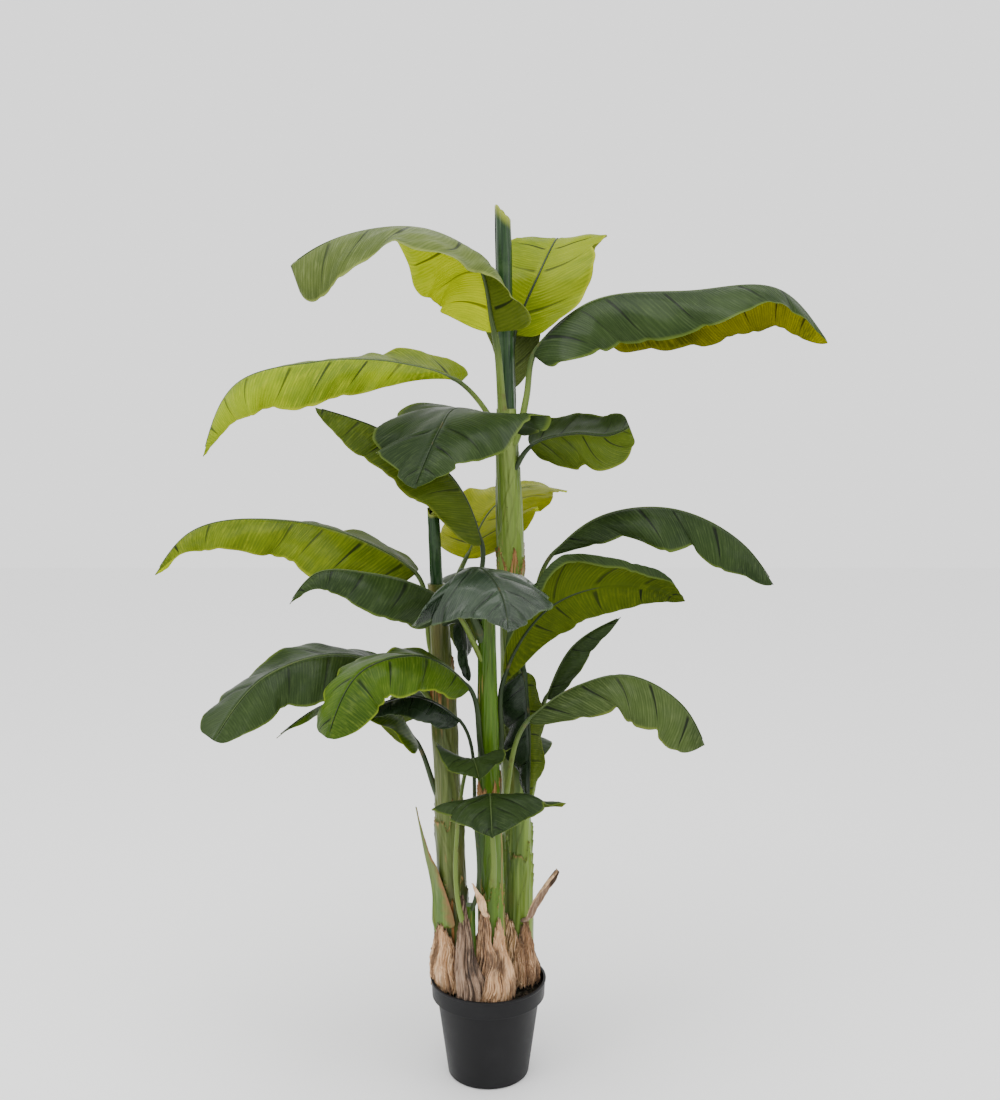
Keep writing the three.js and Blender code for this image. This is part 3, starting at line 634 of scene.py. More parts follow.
# %% Leaves
LEAVES = {
    "leaf_top_left": dict(
        stem="tall", start=1370, sheath_facing=-119.1, base=[14, -36, 1550],
        bends=[[-30, -72, 1700], [-110, -105, 1738], [-235, -115, 1734], [-320, -112, 1704]],
        tip=[-368, -112, 1672], turn=[236, 230, 222, 205, 195, 190], left=140, right=132,
        hang_left=[0, 32, 36, 12, 36, 66], hang_right=[12, 46, 60, 6, 6, 10], rounded=[0.62, 0.9],
        rounded_left=[0.24, 0.22], plumb=0.5, stalk=7.5,
    ),
    "leaf_top_right": dict(
        stem="tall", start=1385, base=[53, 52, 1545], bends=[[107, 75, 1678], [140, 150, 1744]],
        tip=[146, 324, 1694], turn=[60, 70, 75, 80], left=90, right=108, hang_left=[-10, 6, 0],
        hang_right=[-5, -2, 14], rounded=[0.25, 0.5], rounded_left=[0.4, 0.45],
    ),
    "leaf_top_back": dict(
        stem="tall", start=1360, base=[50, 72, 1440], bends=[[46, 110, 1580], [20, 210, 1655]],
        tip=[-30, 370, 1605], turn=[95, 100, 110], left=62, right=70, hang_left=[0, 20],
        hang_right=[0, 20], rounded=[0.6, 0.6],
    ),
    "leaf_upper_right": dict(
        stem="tall", start=1330, rise=[76, 22, 1420], base=[90, 20, 1506],
        bends=[[185, 20, 1602], [400, 5, 1632], [576, -8, 1631]], tip=[667, -15, 1530],
        turn=[0, -4, -6], left=134, right=124, hang_left=[15, 40, 76, 82, 62],
        hang_right=[36, 66, 60, 32, 15], rounded=[0.22, 0.7], rounded_left=[0.3, 0.6], plumb=0.3,
        stalk=7.5,
    ),
    "leaf_upper_left": dict(
        stem="tall", start=1345, base=[-55, 40, 1452],
        bends=[[-185, 70, 1493], [-355, 95, 1494], [-525, 115, 1446]], tip=[-598, 125, 1298],
        turn=[170, 172, 176], left=112, right=95, hang_left=[50, 60, 60], hang_right=[-20, 5, 15],
        rounded=[0.2, 0.5], rounded_left=[1.2, 1],
    ),
    "leaf_upper_front": dict(
        stem="tall", start=1330, base=[-20, -30, 1395], bends=[[-60, -90, 1405], [-90, -190, 1365]],
        tip=[-130, -265, 1268], turn=[205, 225, 240, 250], left=212, right=168, hang_left=[10, 24],
        hang_right=[3, 14], rounded=[0.22, 0.62], rounded_left=[0.22, 0.95],
    ),
    "leaf_upper_right_short": dict(
        stem="tall", start=1275, base=[84, 5, 1325], bends=[[175, 0, 1352], [245, -5, 1350]],
        tip=[281, -10, 1366], turn=[0, -3, -6], left=88, right=84, hang_left=[-25, -30, -25],
        hang_right=[52, 60, 40], rounded=[0.3, 0.18],
    ),
    "leaf_centre_rising": dict(
        stem="front", start=985, base=[-10, -52, 1135], bends=[[-65, -45, 1265], [-195, -30, 1355]],
        tip=[-340, -10, 1405], turn=[185, 178, 175, 175], left=108, right=110, hang_left=[45, 55],
        hang_right=[50, 25],
    ),
    "leaf_centre_yellow": dict(
        stem="left", start=980, base=[-46, 76, 1090], bends=[[18, 206, 1190], [88, 270, 1222]],
        tip=[174, 300, 1208], turn=[50, 45, 35, 30], left=100, right=125, hang_left=[-15, 0],
        hang_right=[0, 10],
    ),
    "leaf_middle_left": dict(
        stem="left", start=890, base=[-145, 10, 1068],
        bends=[[-240, 15, 1130], [-410, 22, 1176], [-615, 34, 1145]], tip=[-684, 40, 1062],
        turn=[180, 178, 176], left=108, right=110, hang_left=[55, 60, 50], hang_right=[0, 15, 20],
        rounded=[0.2, 0.5], rounded_left=[0.3, 0.85],
    ),
    "leaf_middle_left_low": dict(
        stem="front", start=905, base=[-75, -75, 1021], bends=[[-222, -122, 1090], [-332, -132, 1090]],
        tip=[-381, -137, 1033], turn=[185, 185, 188], left=95, right=72, hang_left=[60, 55],
        hang_right=[45, 35], rounded=[0.35, 0.7], rounded_left=[0.3, 1],
    ),
    "leaf_middle_front": dict(
        stem="front", start=945, base=[-50, -105, 1092], bends=[[-15, -145, 1105], [28, -212, 1065]],
        tip=[40, -260, 1003], turn=[294, 296, 292, 285], left=140, right=180, hang_left=[18, 30],
        hang_right=[30, 37, 34], rounded=[0.27, 1.1], rounded_left=[0.4, 0.85], begin=0.1,
    ),
    "leaf_middle_back": dict(
        stem="left", start=935, base=[-82, 75, 1015], bends=[[-68, 140, 1045]], tip=[-60, 350, 825],
        turn=[80, 85, 90], left=75, right=75, hang_left=[30, 40], hang_right=[30, 40],
    ),
    "leaf_middle_right": dict(
        stem="tall", start=890, base=[128, 35, 1100],
        bends=[[215, 25, 1178], [365, 10, 1202], [515, -5, 1130]], tip=[577, -10, 1050],
        turn=[0, -3, -6], left=80, right=90, hang_left=[75, 40, 60], hang_right=[60, 55],
        rounded=[0.8, 0.55],
    ),
    "leaf_bright_left": dict(
        stem="front", start=700, base=[-35, -90, 855], bends=[[-130, -140, 932], [-235, -190, 915]],
        tip=[-300, -228, 793], turn=[185, 200, 215, 218], left=86, right=92, hang_left=[45, 40],
        hang_right=[0, 15], rounded=[0.4, 0.2], rounded_left=[0.4, 0.45],
    ),
    "leaf_low_left": dict(
        stem="left", start=790, base=[-200, -20, 885], bends=[[-310, -40, 912], [-440, -85, 877]],
        tip=[-534, -138, 762], turn=[195, 198, 203], left=98, right=104, hang_left=[45, 58, 30],
        hang_right=[-8, 0, -12], rounded=[0.3, 0.18], rounded_left=[0.35, 0.42],
    ),
    "leaf_low_left_under": dict(
        stem="left", start=590, base=[-145, 5, 715], bends=[[-190, -5, 785], [-290, -20, 815]],
        tip=[-432, -25, 736], turn=[205, 195, 185, 180], left=92, right=92, hang_left=[20, 30],
        hang_right=[20, 30], rounded=[0.2, 1.3],
    ),
    "leaf_low_back_left": dict(
        stem="left", start=700, base=[-105, 90, 785], bends=[[-140, 180, 805]], tip=[-195, 350, 665],
        turn=[110, 110, 110], left=70, right=70, hang_left=[20, 30], hang_right=[20, 30],
    ),
    "leaf_low_back_right": dict(
        stem="tall", start=600, base=[85, 120, 645], bends=[[85, 210, 675]], tip=[90, 380, 520],
        turn=[90, 90, 90], left=55, right=55, hang_left=[20, 30], hang_right=[20, 30],
    ),
    "leaf_underside_right": dict(
        stem="front", start=690, base=[30, -45, 855],
        bends=[[52, -42, 915], [128, -36, 1010], [225, -34, 1048], [337, -38, 1042]],
        tip=[393, -44, 1022], turn=[-15, -12, -8], left=62, right=90, hang_left=[10, 10],
        hang_right=[10, 15], roll=[-60, -75, -70], rounded=[1.5, 1.0], rounded_left=[0.7, 0.8],
    ),
    "leaf_narrow_right": dict(
        stem="tall", start=560, base=[118, 20, 805], bends=[[174, 10, 920]], tip=[268, -5, 982],
        turn=[10, 5, 0], left=40, right=46, hang_left=[50, 50], hang_right=[60, 60],
    ),
    "leaf_low_right": dict(
        stem="front", start=560, base=[80, -75, 785],
        bends=[[180, -90, 862], [275, -100, 884], [385, -115, 825]], tip=[428, -120, 748],
        turn=[-5, -8, -12], left=90, right=92, hang_left=[50, 26, 34, 50], hang_right=[55, 55],
        rounded=[0.45, 0.3], rounded_left=[0.45, 0.45],
    ),
    "leaf_hanging_right": dict(
        stem="tall", start=890, base=[73, -24, 872], bends=[[80, -34, 815]], tip=[84, -32, 605],
        turn=[270, 270, 268], left=40, right=62, hang_left=[30, 30], hang_right=[30, 30],
    ),
    "leaf_hanging_middle": dict(
        stem="left", start=965, base=[-58, -30, 978], bends=[[-44, -48, 920]], tip=[-36, -56, 860],
        turn=[330, 330, 330], left=30, right=30, hang_left=[20, 20], hang_right=[20, 20],
    ),
    "leaf_small_left": dict(
        stem="sucker", start=394, rise=[-25, -84, 590], base=[-55, -76, 785], bends=[[-140, -110, 845]],
        tip=[-255, -120, 810], turn=[182, 182, 184], left=55, right=45, hang_left=[45, 40],
        hang_right=[55, 50], stalk=4.5,
    ),
    "leaf_small_front": dict(
        stem="sucker", start=350, rise=[-60, -94, 580], base=[-40, -98, 700], bends=[[-30, -135, 726]],
        tip=[-15, -205, 706], turn=[265, 268, 272], left=82, right=80, hang_left=[-25, -5],
        hang_right=[-25, -5], rounded=[0.4, 0.8], stalk=4.5,
    ),
    "leaf_lowest_front": dict(
        stem="front", start=425, rise=[12, -92, 490], base=[5, -110, 612], bends=[[5, -160, 663]],
        tip=[10, -275, 617], turn=[270, 270, 270], left=132, right=118, hang_left=[3, 15],
        hang_right=[10, 22], rounded=[0.4, 0.85], stalk=5.5,
    ),
}
print("leaves:", len(LEAVES))

# %% [markdown]
# ## The narrow blades at the foot
#
# A green bract and two curled strips of dry sheath are narrow blades, so the same numbers
# describe them.

# %% Bract and strips as numbers
STRIPS = {
    "bract_left": dict(
        stem="left", start=270, base=[-110, -13, 325], bends=[[-113, -16, 400], [-129, -22, 490]],
        tip=[-146, -28, 590], turn=[205, 205, 200], left=50, right=26, hang_left=[-35, -30],
        hang_right=[-35, -30], rounded=[0.12, 1.9], stalk=5,
    ),
    "strip_centre": dict(
        stem="front", start=365, base=[-9, -92, 392], bends=[[-14, -98, 425]], tip=[-30, -104, 458],
        turn=[250, 240, 230], left=10, right=10, hang_left=[10, 50], hang_right=[10, 50],
        rounded=[0.3, 0.6], stalk=5,
    ),
    "strip_right": dict(
        stem="tall", start=322, base=[83, -16, 346], bends=[[93, -20, 376], [110, -20, 410]],
        tip=[141, -18, 454], turn=[290, 300, 310], left=15, right=15, hang_left=[40, 70],
        hang_right=[40, 70], rounded=[0.25, 0.15], stalk=5,
    ),
}
print("strips:", ", ".join(STRIPS))

# %% [markdown]
# ## A stem's centre line and radius
#
# The stem leans from foot to top with a slight bow, tapers evenly, flares a little at the
# soil and swells under each torn sheath edge. Both are plain functions of the height.

# %% Stem functions
FLARE_FALL = 12        # how fast the foot's flare dies away, over the height of the stem


def stem_axis(stem, z):
    """Straight from foot to top, bowed sideways by a parabola of the height."""
    k = (z - STEM_FOOT) / (stem["top"][2] - STEM_FOOT)
    x = stem["foot"][0] + (stem["top"][0] - stem["foot"][0]) * k + stem["bow"] * 4 * k * (1 - k)
    y = stem["foot"][1] + (stem["top"][1] - stem["foot"][1]) * k
    return np.stack([x, y, z + 0 * k], axis=-1)


def stem_radius(stem, z, ends=None):
    """Even taper, a flare at the foot, and a lip that dies away below each sheath end."""
    k = (z - STEM_FOOT) / (stem["top"][2] - STEM_FOOT)
    radius = stem["foot_radius"] + (stem["top_radius"] - stem["foot_radius"]) * k
    radius = radius + FOOT_FLARE * np.exp(-FLARE_FALL * k)
    for end in stem["sheath_ends"] if ends is None else ends:
        radius = radius + np.where(z < end, stem["lip"] * np.exp(np.minimum(z - end, 0) / FLARE_HEIGHT), 0)
    return radius


print("tall stem radius at mid height:", np.round(stem_radius(STEMS["tall"], np.array(700.0)), 1), "mm")

# %% [markdown]
# ## The leaf's midrib
#
# The midrib is a smooth curve through a handful of points: at each point its slope is that
# of the parabola through the point and its neighbours. It starts inside the stem, so that
# the petiole grows out of the sheath. Blender's own curves could carry it, but from plain
# arrays the blade, the stalk and the sheath can all read the same line.

# %% Midrib
ROOT_DEPTH = 0.62      # where a petiole starts inside its stem, of the stem's radius
LEAVING = (0.45, 0.9)  # outward and upward shares of its direction there


class Midrib:
    """Cubic pieces through the points, read at any distance along their chords."""

    def __init__(self, points, first_slope):
        chords = np.diff(points, axis=0)
        self.lengths = np.linalg.norm(chords, axis=1)
        slopes = chords / self.lengths[:, None]
        self.points = points
        self.knots = np.concatenate([[0], np.cumsum(self.lengths)])
        before, after = self.lengths[:-1, None], self.lengths[1:, None]
        inner = (slopes[:-1] * after + slopes[1:] * before) / (before + after)
        last = 1.5 * slopes[-1] - 0.5 * (inner[-1] if len(inner) else first_slope)
        self.slopes = np.concatenate([[first_slope], inner, [last]])

    def read(self, distance):
        """Points and unit directions: cubic blends of the two ends' places and slopes."""
        i = np.clip(np.searchsorted(self.knots, distance, side="right") - 1, 0, len(self.lengths) - 1)
        h = self.lengths[i][:, None]
        t = (distance - self.knots[i])[:, None] / h
        p0, p1, m0, m1 = self.points[i], self.points[i + 1], self.slopes[i], self.slopes[i + 1]
        place = (p0 * (2 * t**3 - 3 * t**2 + 1) + m0 * h * (t**3 - 2 * t**2 + t)
                 + p1 * (3 * t**2 - 2 * t**3) + m1 * h * (t**3 - t**2))
        direction = (p0 - p1) * (6 * t**2 - 6 * t) / h + m0 * (3 * t**2 - 4 * t + 1) + m1 * (3 * t**2 - 2 * t)
        return place, unit(direction)


def midrib_of(leaf):
    """The leaf's whole line from inside its stem, and the distance at which its blade starts."""
    stem = STEMS[leaf["stem"]]
    centre = stem_axis(stem, float(leaf["start"]))
    rise = [leaf["rise"]] if "rise" in leaf else []
    places = np.array([*rise, leaf["base"], *leaf["bends"], leaf["tip"]], float)
    outward = unit((places[0] - centre) * (1, 1, 0))
    start = centre + outward * stem_radius(stem, float(leaf["start"])) * ROOT_DEPTH
    first_slope = unit(outward * LEAVING[0] + np.array([0, 0, LEAVING[1]]))
    line = Midrib(np.concatenate([[start], places]), first_slope)
    return line, line.knots[1 + len(rise)]


line, base_at = midrib_of(LEAVES["leaf_upper_right"])
print("a petiole of", round(base_at), "mm and a blade of", round(line.knots[-1] - base_at), "mm")

# %% [markdown]
# ## The two halves of a blade
#
# Across the midrib, each half of the blade follows an arc that starts with a slope and
# steepens to the margin, so a leaf can be flat, arched or folded like a tent. The outline
# is a power of the distance from each end. Along the blade v runs from 0 at its base to 1
# at its tip, and across a half u runs from 0 at the midrib to 1 at the margin. One flat
# leaf could be bent by modifiers as well, but a formula makes 27 different ones.

# %% Blade functions
OUTLINE = (0.45, 0.7)  # how bluntly a blade starts and ends where none is given
LEAST_SHARE = 0.02     # width left at the very ends, so that no row of points collapses
CURL_START = 0.45      # slope of a half at the midrib, as a share of its hang
CURL_GROWTH = 1.1      # how much steeper it is at the margin
FLAT = 0.001           # the least growth in radians that the arc's formula can take


def blade_frame(leaf, direction, v):
    """Unit vectors to the blade's right and up, square to the midrib, turned by any roll."""
    ahead = heading(between(leaf["turn"], v))
    side = np.stack([ahead[:, 1], -ahead[:, 0], 0 * v], axis=-1)
    side = unit(side - direction * np.sum(side * direction, axis=1, keepdims=True))
    up = np.cross(side, direction)
    roll = np.radians(between(leaf.get("roll", (0, 0)), v))[:, None]
    return side * np.cos(roll) - up * np.sin(roll), up * np.cos(roll) + side * np.sin(roll)


def outline(rounded, v):
    """Share of the greatest half width: v to one power times 1 - v to another, scaled to 1."""
    start, end = rounded
    widest = start / (start + end)
    share = v**start * (1 - v)**end / (widest**start * (1 - widest)**end)
    return np.maximum(share, LEAST_SHARE)


def arc(width, hang, u):
    """How far out and down a half reaches at u of its width, and its slope there."""
    first = np.radians(hang) * CURL_START
    grow = np.radians(hang) * CURL_GROWTH
    grow = np.where(np.abs(grow) < FLAT, FLAT, grow)
    slope = first + grow * u
    out = width * (np.sin(slope) - np.sin(first)) / grow
    down = width * (np.cos(first) - np.cos(slope)) / grow
    return out, down, slope


print("a half 100 mm wide that hangs by 60 degrees reaches out", round(float(arc(100, 60, 1)[0])), "mm")

# %% [markdown]
# ## The strong veins
#
# Strong veins leave the midrib every 80 mm or so and run out to the margin, a little
# towards the tip. Counting them gives every place on the blade a number that is whole in a
# vein. From vein to vein the cloth rises or drops in a straight flank, and over each pair
# of gaps it puffs up. All of these heights come from the leaf's seed.

# %% Counting veins
VEIN_STEP = 80.0       # distance between strong veins, in millimetres
FEWEST_VEINS = 5       # on each half, however short the blade
VEIN_SLOTS = 24        # strengths drawn for each half
FIRST_SLOT = 3         # the draw that belongs to the count 0
VEIN_CHANCE = 0.86     # share of the veins that show
VEIN_STRAY = 0.16      # how far the count strays from even steps
STRAY_LENGTH = 260     # millimetres to the unit of the wave that it strays by
VEIN_SPLAY = 0.2       # how far the count shifts from the midrib to the margin
PAIR_SHIFT = 0.3       # how far the puffs of one half lie beside those of the other


def slot_of(count, last):
    """Number of the draw that belongs to a count of veins, kept from 0 to last."""
    return np.clip(np.floor(count).astype(int) + FIRST_SLOT, 0, last)


def vein_folds(count, left, random):
    """A random height at each strong vein, joined by straight flanks from vein to vein."""
    heights = random.uniform(-1, 1, (2, VEIN_SLOTS + 2))
    below = slot_of(count, VEIN_SLOTS)
    share = count - np.floor(count)
    flanks = [row[below] * (1 - share) + row[below + 1] * share for row in heights]
    return np.where(left, flanks[0], flanks[1])


def vein_pattern(seed, s, u, left, step):
    """The count of veins at each place, and what the seed draws for each of them.

    The count is the distance s along the blade in vein steps. A slow random wave shifts it,
    and it shifts from the midrib to the margin as well, one way on each half.
    """
    stray = VEIN_STRAY * wander(seed, s / STRAY_LENGTH)
    count = s / step + 0.5 + stray + VEIN_SPLAY * u * np.where(left, 1, -1)
    random = np.random.default_rng(seed)
    strengths = random.uniform(0.6, 1, (2, VEIN_SLOTS))
    strengths = strengths * (random.uniform(size=(2, VEIN_SLOTS)) < VEIN_CHANCE)
    nearest = slot_of(np.round(count), VEIN_SLOTS - 1)
    fold = vein_folds(count, left, random)
    scallop = vein_folds(count, left, random)
    amounts = random.uniform(0.3, 1.3, (2, VEIN_SLOTS + 2))
    pairs = count / 2 + np.where(left, PAIR_SHIFT, 0.0)
    below = slot_of(pairs, VEIN_SLOTS + 1)
    return {
        "count": count, "away": (count - np.round(count)) * step, "fold": fold, "scallop": scallop,
        "strength": np.where(left, strengths[0][nearest], strengths[1][nearest]),
        "puff": np.abs(np.sin(math.pi * pairs)) * np.where(left, amounts[0][below], amounts[1][below]),
    }


print("veins on a half 600 mm long:", round(600 / VEIN_STEP))

# %% [markdown]
# ## Relief and outline
#
# Cloth never hangs quite flat: its margins wave, it puckers between the strong veins, and
# each strong vein is a shallow crease that also nicks the outline. The relief is a height
# over the plain blade. Near the midrib it is squeezed to what the half width leaves room
# for, so that the sheet never passes through itself.

# %% Relief
FOLD_HEIGHT = 15.0     # how far the margin rises or drops from vein to vein
FOLD_SHARE = 0.08      # how much the width changes from vein to vein
PUFF_HEIGHT = 6.0      # how far the cloth puffs up between every second vein, at the margin
PUFF_SHARE = 0.13      # how far the outline bulges there, of the width
WAVE_HEIGHT = 7.0      # how far the margin waves besides
NICK_SHARE = 0.05      # how deep a vein nicks the outline, of the width
NICK_REACH = 11        # how far to both sides of it
CREASE_DEPTH = 1.9
CREASE_REACH = 5.5
BUCKLE_HEIGHT = 2.2    # slow unevenness of the whole blade
WRINKLE_HEIGHT = 0.5   # and the finest one
WAVE_LENGTHS = (190, 80)  # millimetres to the unit of the margin's two random waves
BUCKLE_LENGTH = 120
WRINKLE_LENGTH = 26
ROOM_SHARE = 0.45      # height that the relief may reach, of the distance from the midrib
LEAST_ROOM = 0.8
GROOVE_DEPTH = 1.8     # of the midrib, seen from above
GROOVE_WIDTH = 4
SHOULDER_HEIGHT = 0.9  # of the two ridges beside it
SHOULDER_PLACE = 8     # millimetres from the midrib


def uneven_width(seed, v, a, width, veins, waves, creases):
    """The width times 1 plus small random shares, less a nick at each strong vein."""
    nick = NICK_SHARE * veins["strength"] * np.exp(-(veins["away"] / NICK_REACH)**2) * creases
    uneven = 0.02 * wander(seed + 1, v * 3, a * 0.5)
    uneven = uneven + waves * (FOLD_SHARE * veins["scallop"] + PUFF_SHARE * (veins["puff"] - 0.5))
    return width * (1 + uneven - nick * np.abs(a))


def relief_of(seed, place, width, out, veins, size, waves, creases):
    """Folds, puffs and waves that grow to the margin, less the creases and the midrib's groove."""
    s, v, a = place
    u, sign = np.abs(a), np.sign(a)
    ends = np.sin(math.pi * np.clip(v, 0.02, 0.98))**0.6
    wave = wander(seed + 2, s / WAVE_LENGTHS[0] + 2 * sign, u * 0.3)
    wave = wave + 0.45 * wander(seed + 3, s / WAVE_LENGTHS[1] + 2 * sign)
    puffed = PUFF_HEIGHT * u**1.3 * (veins["puff"] - 0.4)
    margin = FOLD_HEIGHT * u**1.2 * veins["fold"] + puffed + WAVE_HEIGHT * u**2 * wave
    relief = waves * size * ends * margin
    relief += BUCKLE_HEIGHT * size * u**0.7 * ends * wander(seed + 4, s / BUCKLE_LENGTH, a * width / 90)
    relief += WRINKLE_HEIGHT * u * wander(seed + 5, s / WRINKLE_LENGTH, a * 2)
    crease = veins["strength"] * np.exp(-(veins["away"] / CREASE_REACH)**2)
    crease = crease * fade(u, 0.03, 0.2) * (1 - 0.6 * fade(u, 0.7, 1))
    relief -= CREASE_DEPTH * creases * ends * crease
    room = ROOM_SHARE * np.abs(out) + LEAST_ROOM
    relief = room * np.tanh(relief / room)
    relief += SHOULDER_HEIGHT * np.exp(-((u * width - SHOULDER_PLACE) / GROOVE_WIDTH)**2)
    return relief - GROOVE_DEPTH * np.exp(-(u * width / GROOVE_WIDTH)**2)


print("a margin rises or drops by up to", FOLD_HEIGHT + WAVE_HEIGHT, "mm")

# %% [markdown]
# ## A margin turned over
#
# One leaf has a band along its right margin that is folded on itself. The blade's columns
# go on past the margin, round a small bend and back over the underside. The pattern map
# then counts across the half with its band, so the veins run on over the fold.

# %% Turned margin
FOLD_BEND = 2.5        # radius of the bend where a margin is turned over
BAND_STEPS = np.array([0.06, 0.12, 0.2, 0.35, 0.6, 0.8, 1.0])  # columns of the band, of its reach
LEAST_REACH = 1.5      # millimetres of band where it begins and ends
HALF = np.concatenate([[0, 0.022, 0.05], np.linspace(0.1, 0.965, 15), [0.985, 1]])  # columns of a half


def turned_over(margin, outward, normal, reach, turn):
    """Columns that carry a margin on round a small bend and back over the underside.

    At a length s past the margin the sheet has turned by s / FOLD_BEND, up to turn.
    """
    along = reach[:, None] * BAND_STEPS
    turned = np.minimum(along / FOLD_BEND, math.radians(turn))
    cos, sin = np.cos(turned)[..., None], np.sin(turned)[..., None]
    outward, normal = outward[:, None, :], normal[:, None, :]
    points = margin[:, None, :] + FOLD_BEND * (outward * sin - normal * (1 - cos))
    points = points + (along - turned * FOLD_BEND)[..., None] * (outward * cos - normal * sin)
    return points, normal * cos + outward * sin, along


def with_band(blade, flap, v, outward, width, step, seed):
    """The blade with a band of flap's reach added, which starts and ends where flap says."""
    reach = flap["reach"] * fade(v, *flap["starts"]) * (1 - fade(v, *flap["ends"])) + LEAST_REACH
    reach = reach * (1 + 0.12 * wander(seed + 6, v * 5))
    margin, normal = blade["top"][:, -1], blade["normal"][:, -1]
    points, normals, along = turned_over(margin, outward, normal, reach, flap["turn"])
    whole = width + reach[:, None]
    right = 0.5 + 0.5 * HALF[None, 1:] * width / whole
    blade["across"] = np.concatenate([blade["across"][:, :len(HALF)], right], axis=1)
    band = {
        "top": points, "normal": normals, "across": 0.5 + 0.5 * (width + along) / whole,
        "count": blade["count"][:, -1:] - 0.85 * along / step,
    }
    for kept in ("strength", "thickness"):
        band[kept] = np.repeat(blade[kept][:, -1:], len(BAND_STEPS), axis=1)
    return {key: np.concatenate([blade[key], band[key]], axis=1) for key in blade}


print("columns of a half:", len(HALF), "and of a band:", len(BAND_STEPS))

# %% [markdown]
# ## The blade as a closed sheet
#
# The blade is just over a millimetre thick. At each step along the midrib a ring of points
# goes over the top to the right margin and back underneath. A Solidify modifier could
# thicken an open sheet, but this ring thins out towards the margin, and each face takes the
# finish of the top or the underside of its own half.

# %% Closing a blade
LEFT_TOP, LEFT_UNDER, STALK, RIGHT_TOP, RIGHT_UNDER = range(5)  # the order of a leaf's finishes


def closed_sheet(blade):
    """A ring of columns over the top and back under it, with a finish for every column."""
    top = blade["top"]
    bottom = top - blade["normal"] * blade["thickness"][..., None]
    ring = np.concatenate([top, bottom[:, ::-1]], axis=1) * MM
    pattern = np.stack([blade["across"], blade["count"]], axis=-1)
    pattern = np.concatenate([pattern, pattern[:, ::-1], pattern[:, :1]], axis=1)
    left = len(HALF) - 1
    right = top.shape[1] - 1 - left
    finish = [LEFT_TOP] * left + [RIGHT_TOP] * (right + 1)
    finish = np.array(finish + [RIGHT_UNDER] * right + [LEFT_UNDER] * left + [LEFT_TOP])
    strength = np.concatenate([blade["strength"], blade["strength"][:, ::-1]], axis=1)
    lower = (np.arange(len(finish)) >= top.shape[1]).astype(int)
    return surface(ring, pattern, closed=True, capped=True, material=finish, swapped=lower, strength=strength)


print("points in a ring:", 2 * (2 * len(HALF) - 1))

# %% [markdown]
# ## The whole blade
#
# The top is the plain blade with its relief added along its own normal: from the midrib
# out along the arc, and down along it. Where a leaf is plumb, its halves sag straight down
# instead of square to the midrib. Rows lie closer together near both ends, where the
# outline turns fastest.

# %% Blade
ROWS = 150             # steps along a blade
ROW_CROWDING = 0.055   # how far the rows crowd towards both ends
SWEEP = (0.35, 0.25)   # how far a vein runs on to its margin, of the width: even and growing
SHEET = 1.3            # thickness of a blade in millimetres
EDGE_THINNING = 0.45   # share by which it is thinner at the margin
SMALLEST_SIZE = 0.25   # share of the waves that the narrowest leaf would have
FULL_WIDTH = 240       # a leaf three quarters as wide as this has them in full


def blade_surface(leaf, line, base_at, seed, waves, creases, flap=None):
    """Arcs to both sides of the midrib, with their outline, sag and relief, as a closed sheet."""
    t = np.linspace(0, 1, ROWS + 1)
    v = t - ROW_CROWDING * np.sin(2 * math.pi * t)
    length = line.knots[-1] - base_at
    begin = leaf.get("begin", 0.0)
    centre, direction = line.read(base_at + length * (begin + (1 - begin) * v))
    side, up = blade_frame(leaf, direction, v)
    plumb = leaf.get("plumb", 0.0)
    sag = unit(up * (1 - plumb) + np.array([0, 0, plumb]))

    a = np.concatenate([-HALF[:0:-1], HALF])[None, :]
    u, sign, left = np.abs(a), np.sign(a), a < 0
    v2 = v[:, None]
    rounded = leaf.get("rounded", OUTLINE)
    share_left = outline(leaf.get("rounded_left", rounded), v)[:, None]
    width = np.where(left, leaf["left"] * share_left, leaf["right"] * outline(rounded, v)[:, None])
    hang = np.where(left, between(leaf["hang_left"], v)[:, None], between(leaf["hang_right"], v)[:, None])

    step = min(VEIN_STEP, length / FEWEST_VEINS)
    s = length * v2 - width * (SWEEP[0] * u + SWEEP[1] * u**2)
    veins = vein_pattern(seed, s, u, left, step)
    width = uneven_width(seed, v2, a, width, veins, waves, creases)
    out, down, slope = arc(width, hang, u)
    to_side, to_up = side[:, None, :], up[:, None, :]
    normal = to_up * np.cos(slope)[..., None] + to_side * (sign * np.sin(slope))[..., None]
    size = min(1, SMALLEST_SIZE + (leaf["left"] + leaf["right"]) / FULL_WIDTH)
    relief = relief_of(seed, (s, v2, a), width, out, veins, size, waves, creases)
    top = (centre[:, None, :] + to_side * (sign * out)[..., None] - sag[:, None, :] * down[..., None]
           + normal * relief[..., None])
    blade = {
        "top": top, "normal": normal, "across": np.broadcast_to((a + 1) / 2, relief.shape),
        "count": veins["count"], "strength": veins["strength"],
        "thickness": SHEET * (1 - EDGE_THINNING * u**4) * np.ones_like(relief),
    }
    if flap:
        outward = side * np.cos(slope[:, -1:]) - up * np.sin(slope[:, -1:])
        blade = with_band(blade, flap, v, outward, width[:, -1:], step, seed)
    return closed_sheet(blade)


print("points over the top of a blade:", (ROWS + 1) * (2 * len(HALF) - 1))

# %% [markdown]
# ## Petiole and midrib
#
# The midrib is a tapering tube under the blade. It goes on as the petiole, which has a
# groove on its upper side and widens where it clasps the stem. A curve with a bevel would
# give a round tube only, and a ring of points can be hollowed and widened as well.

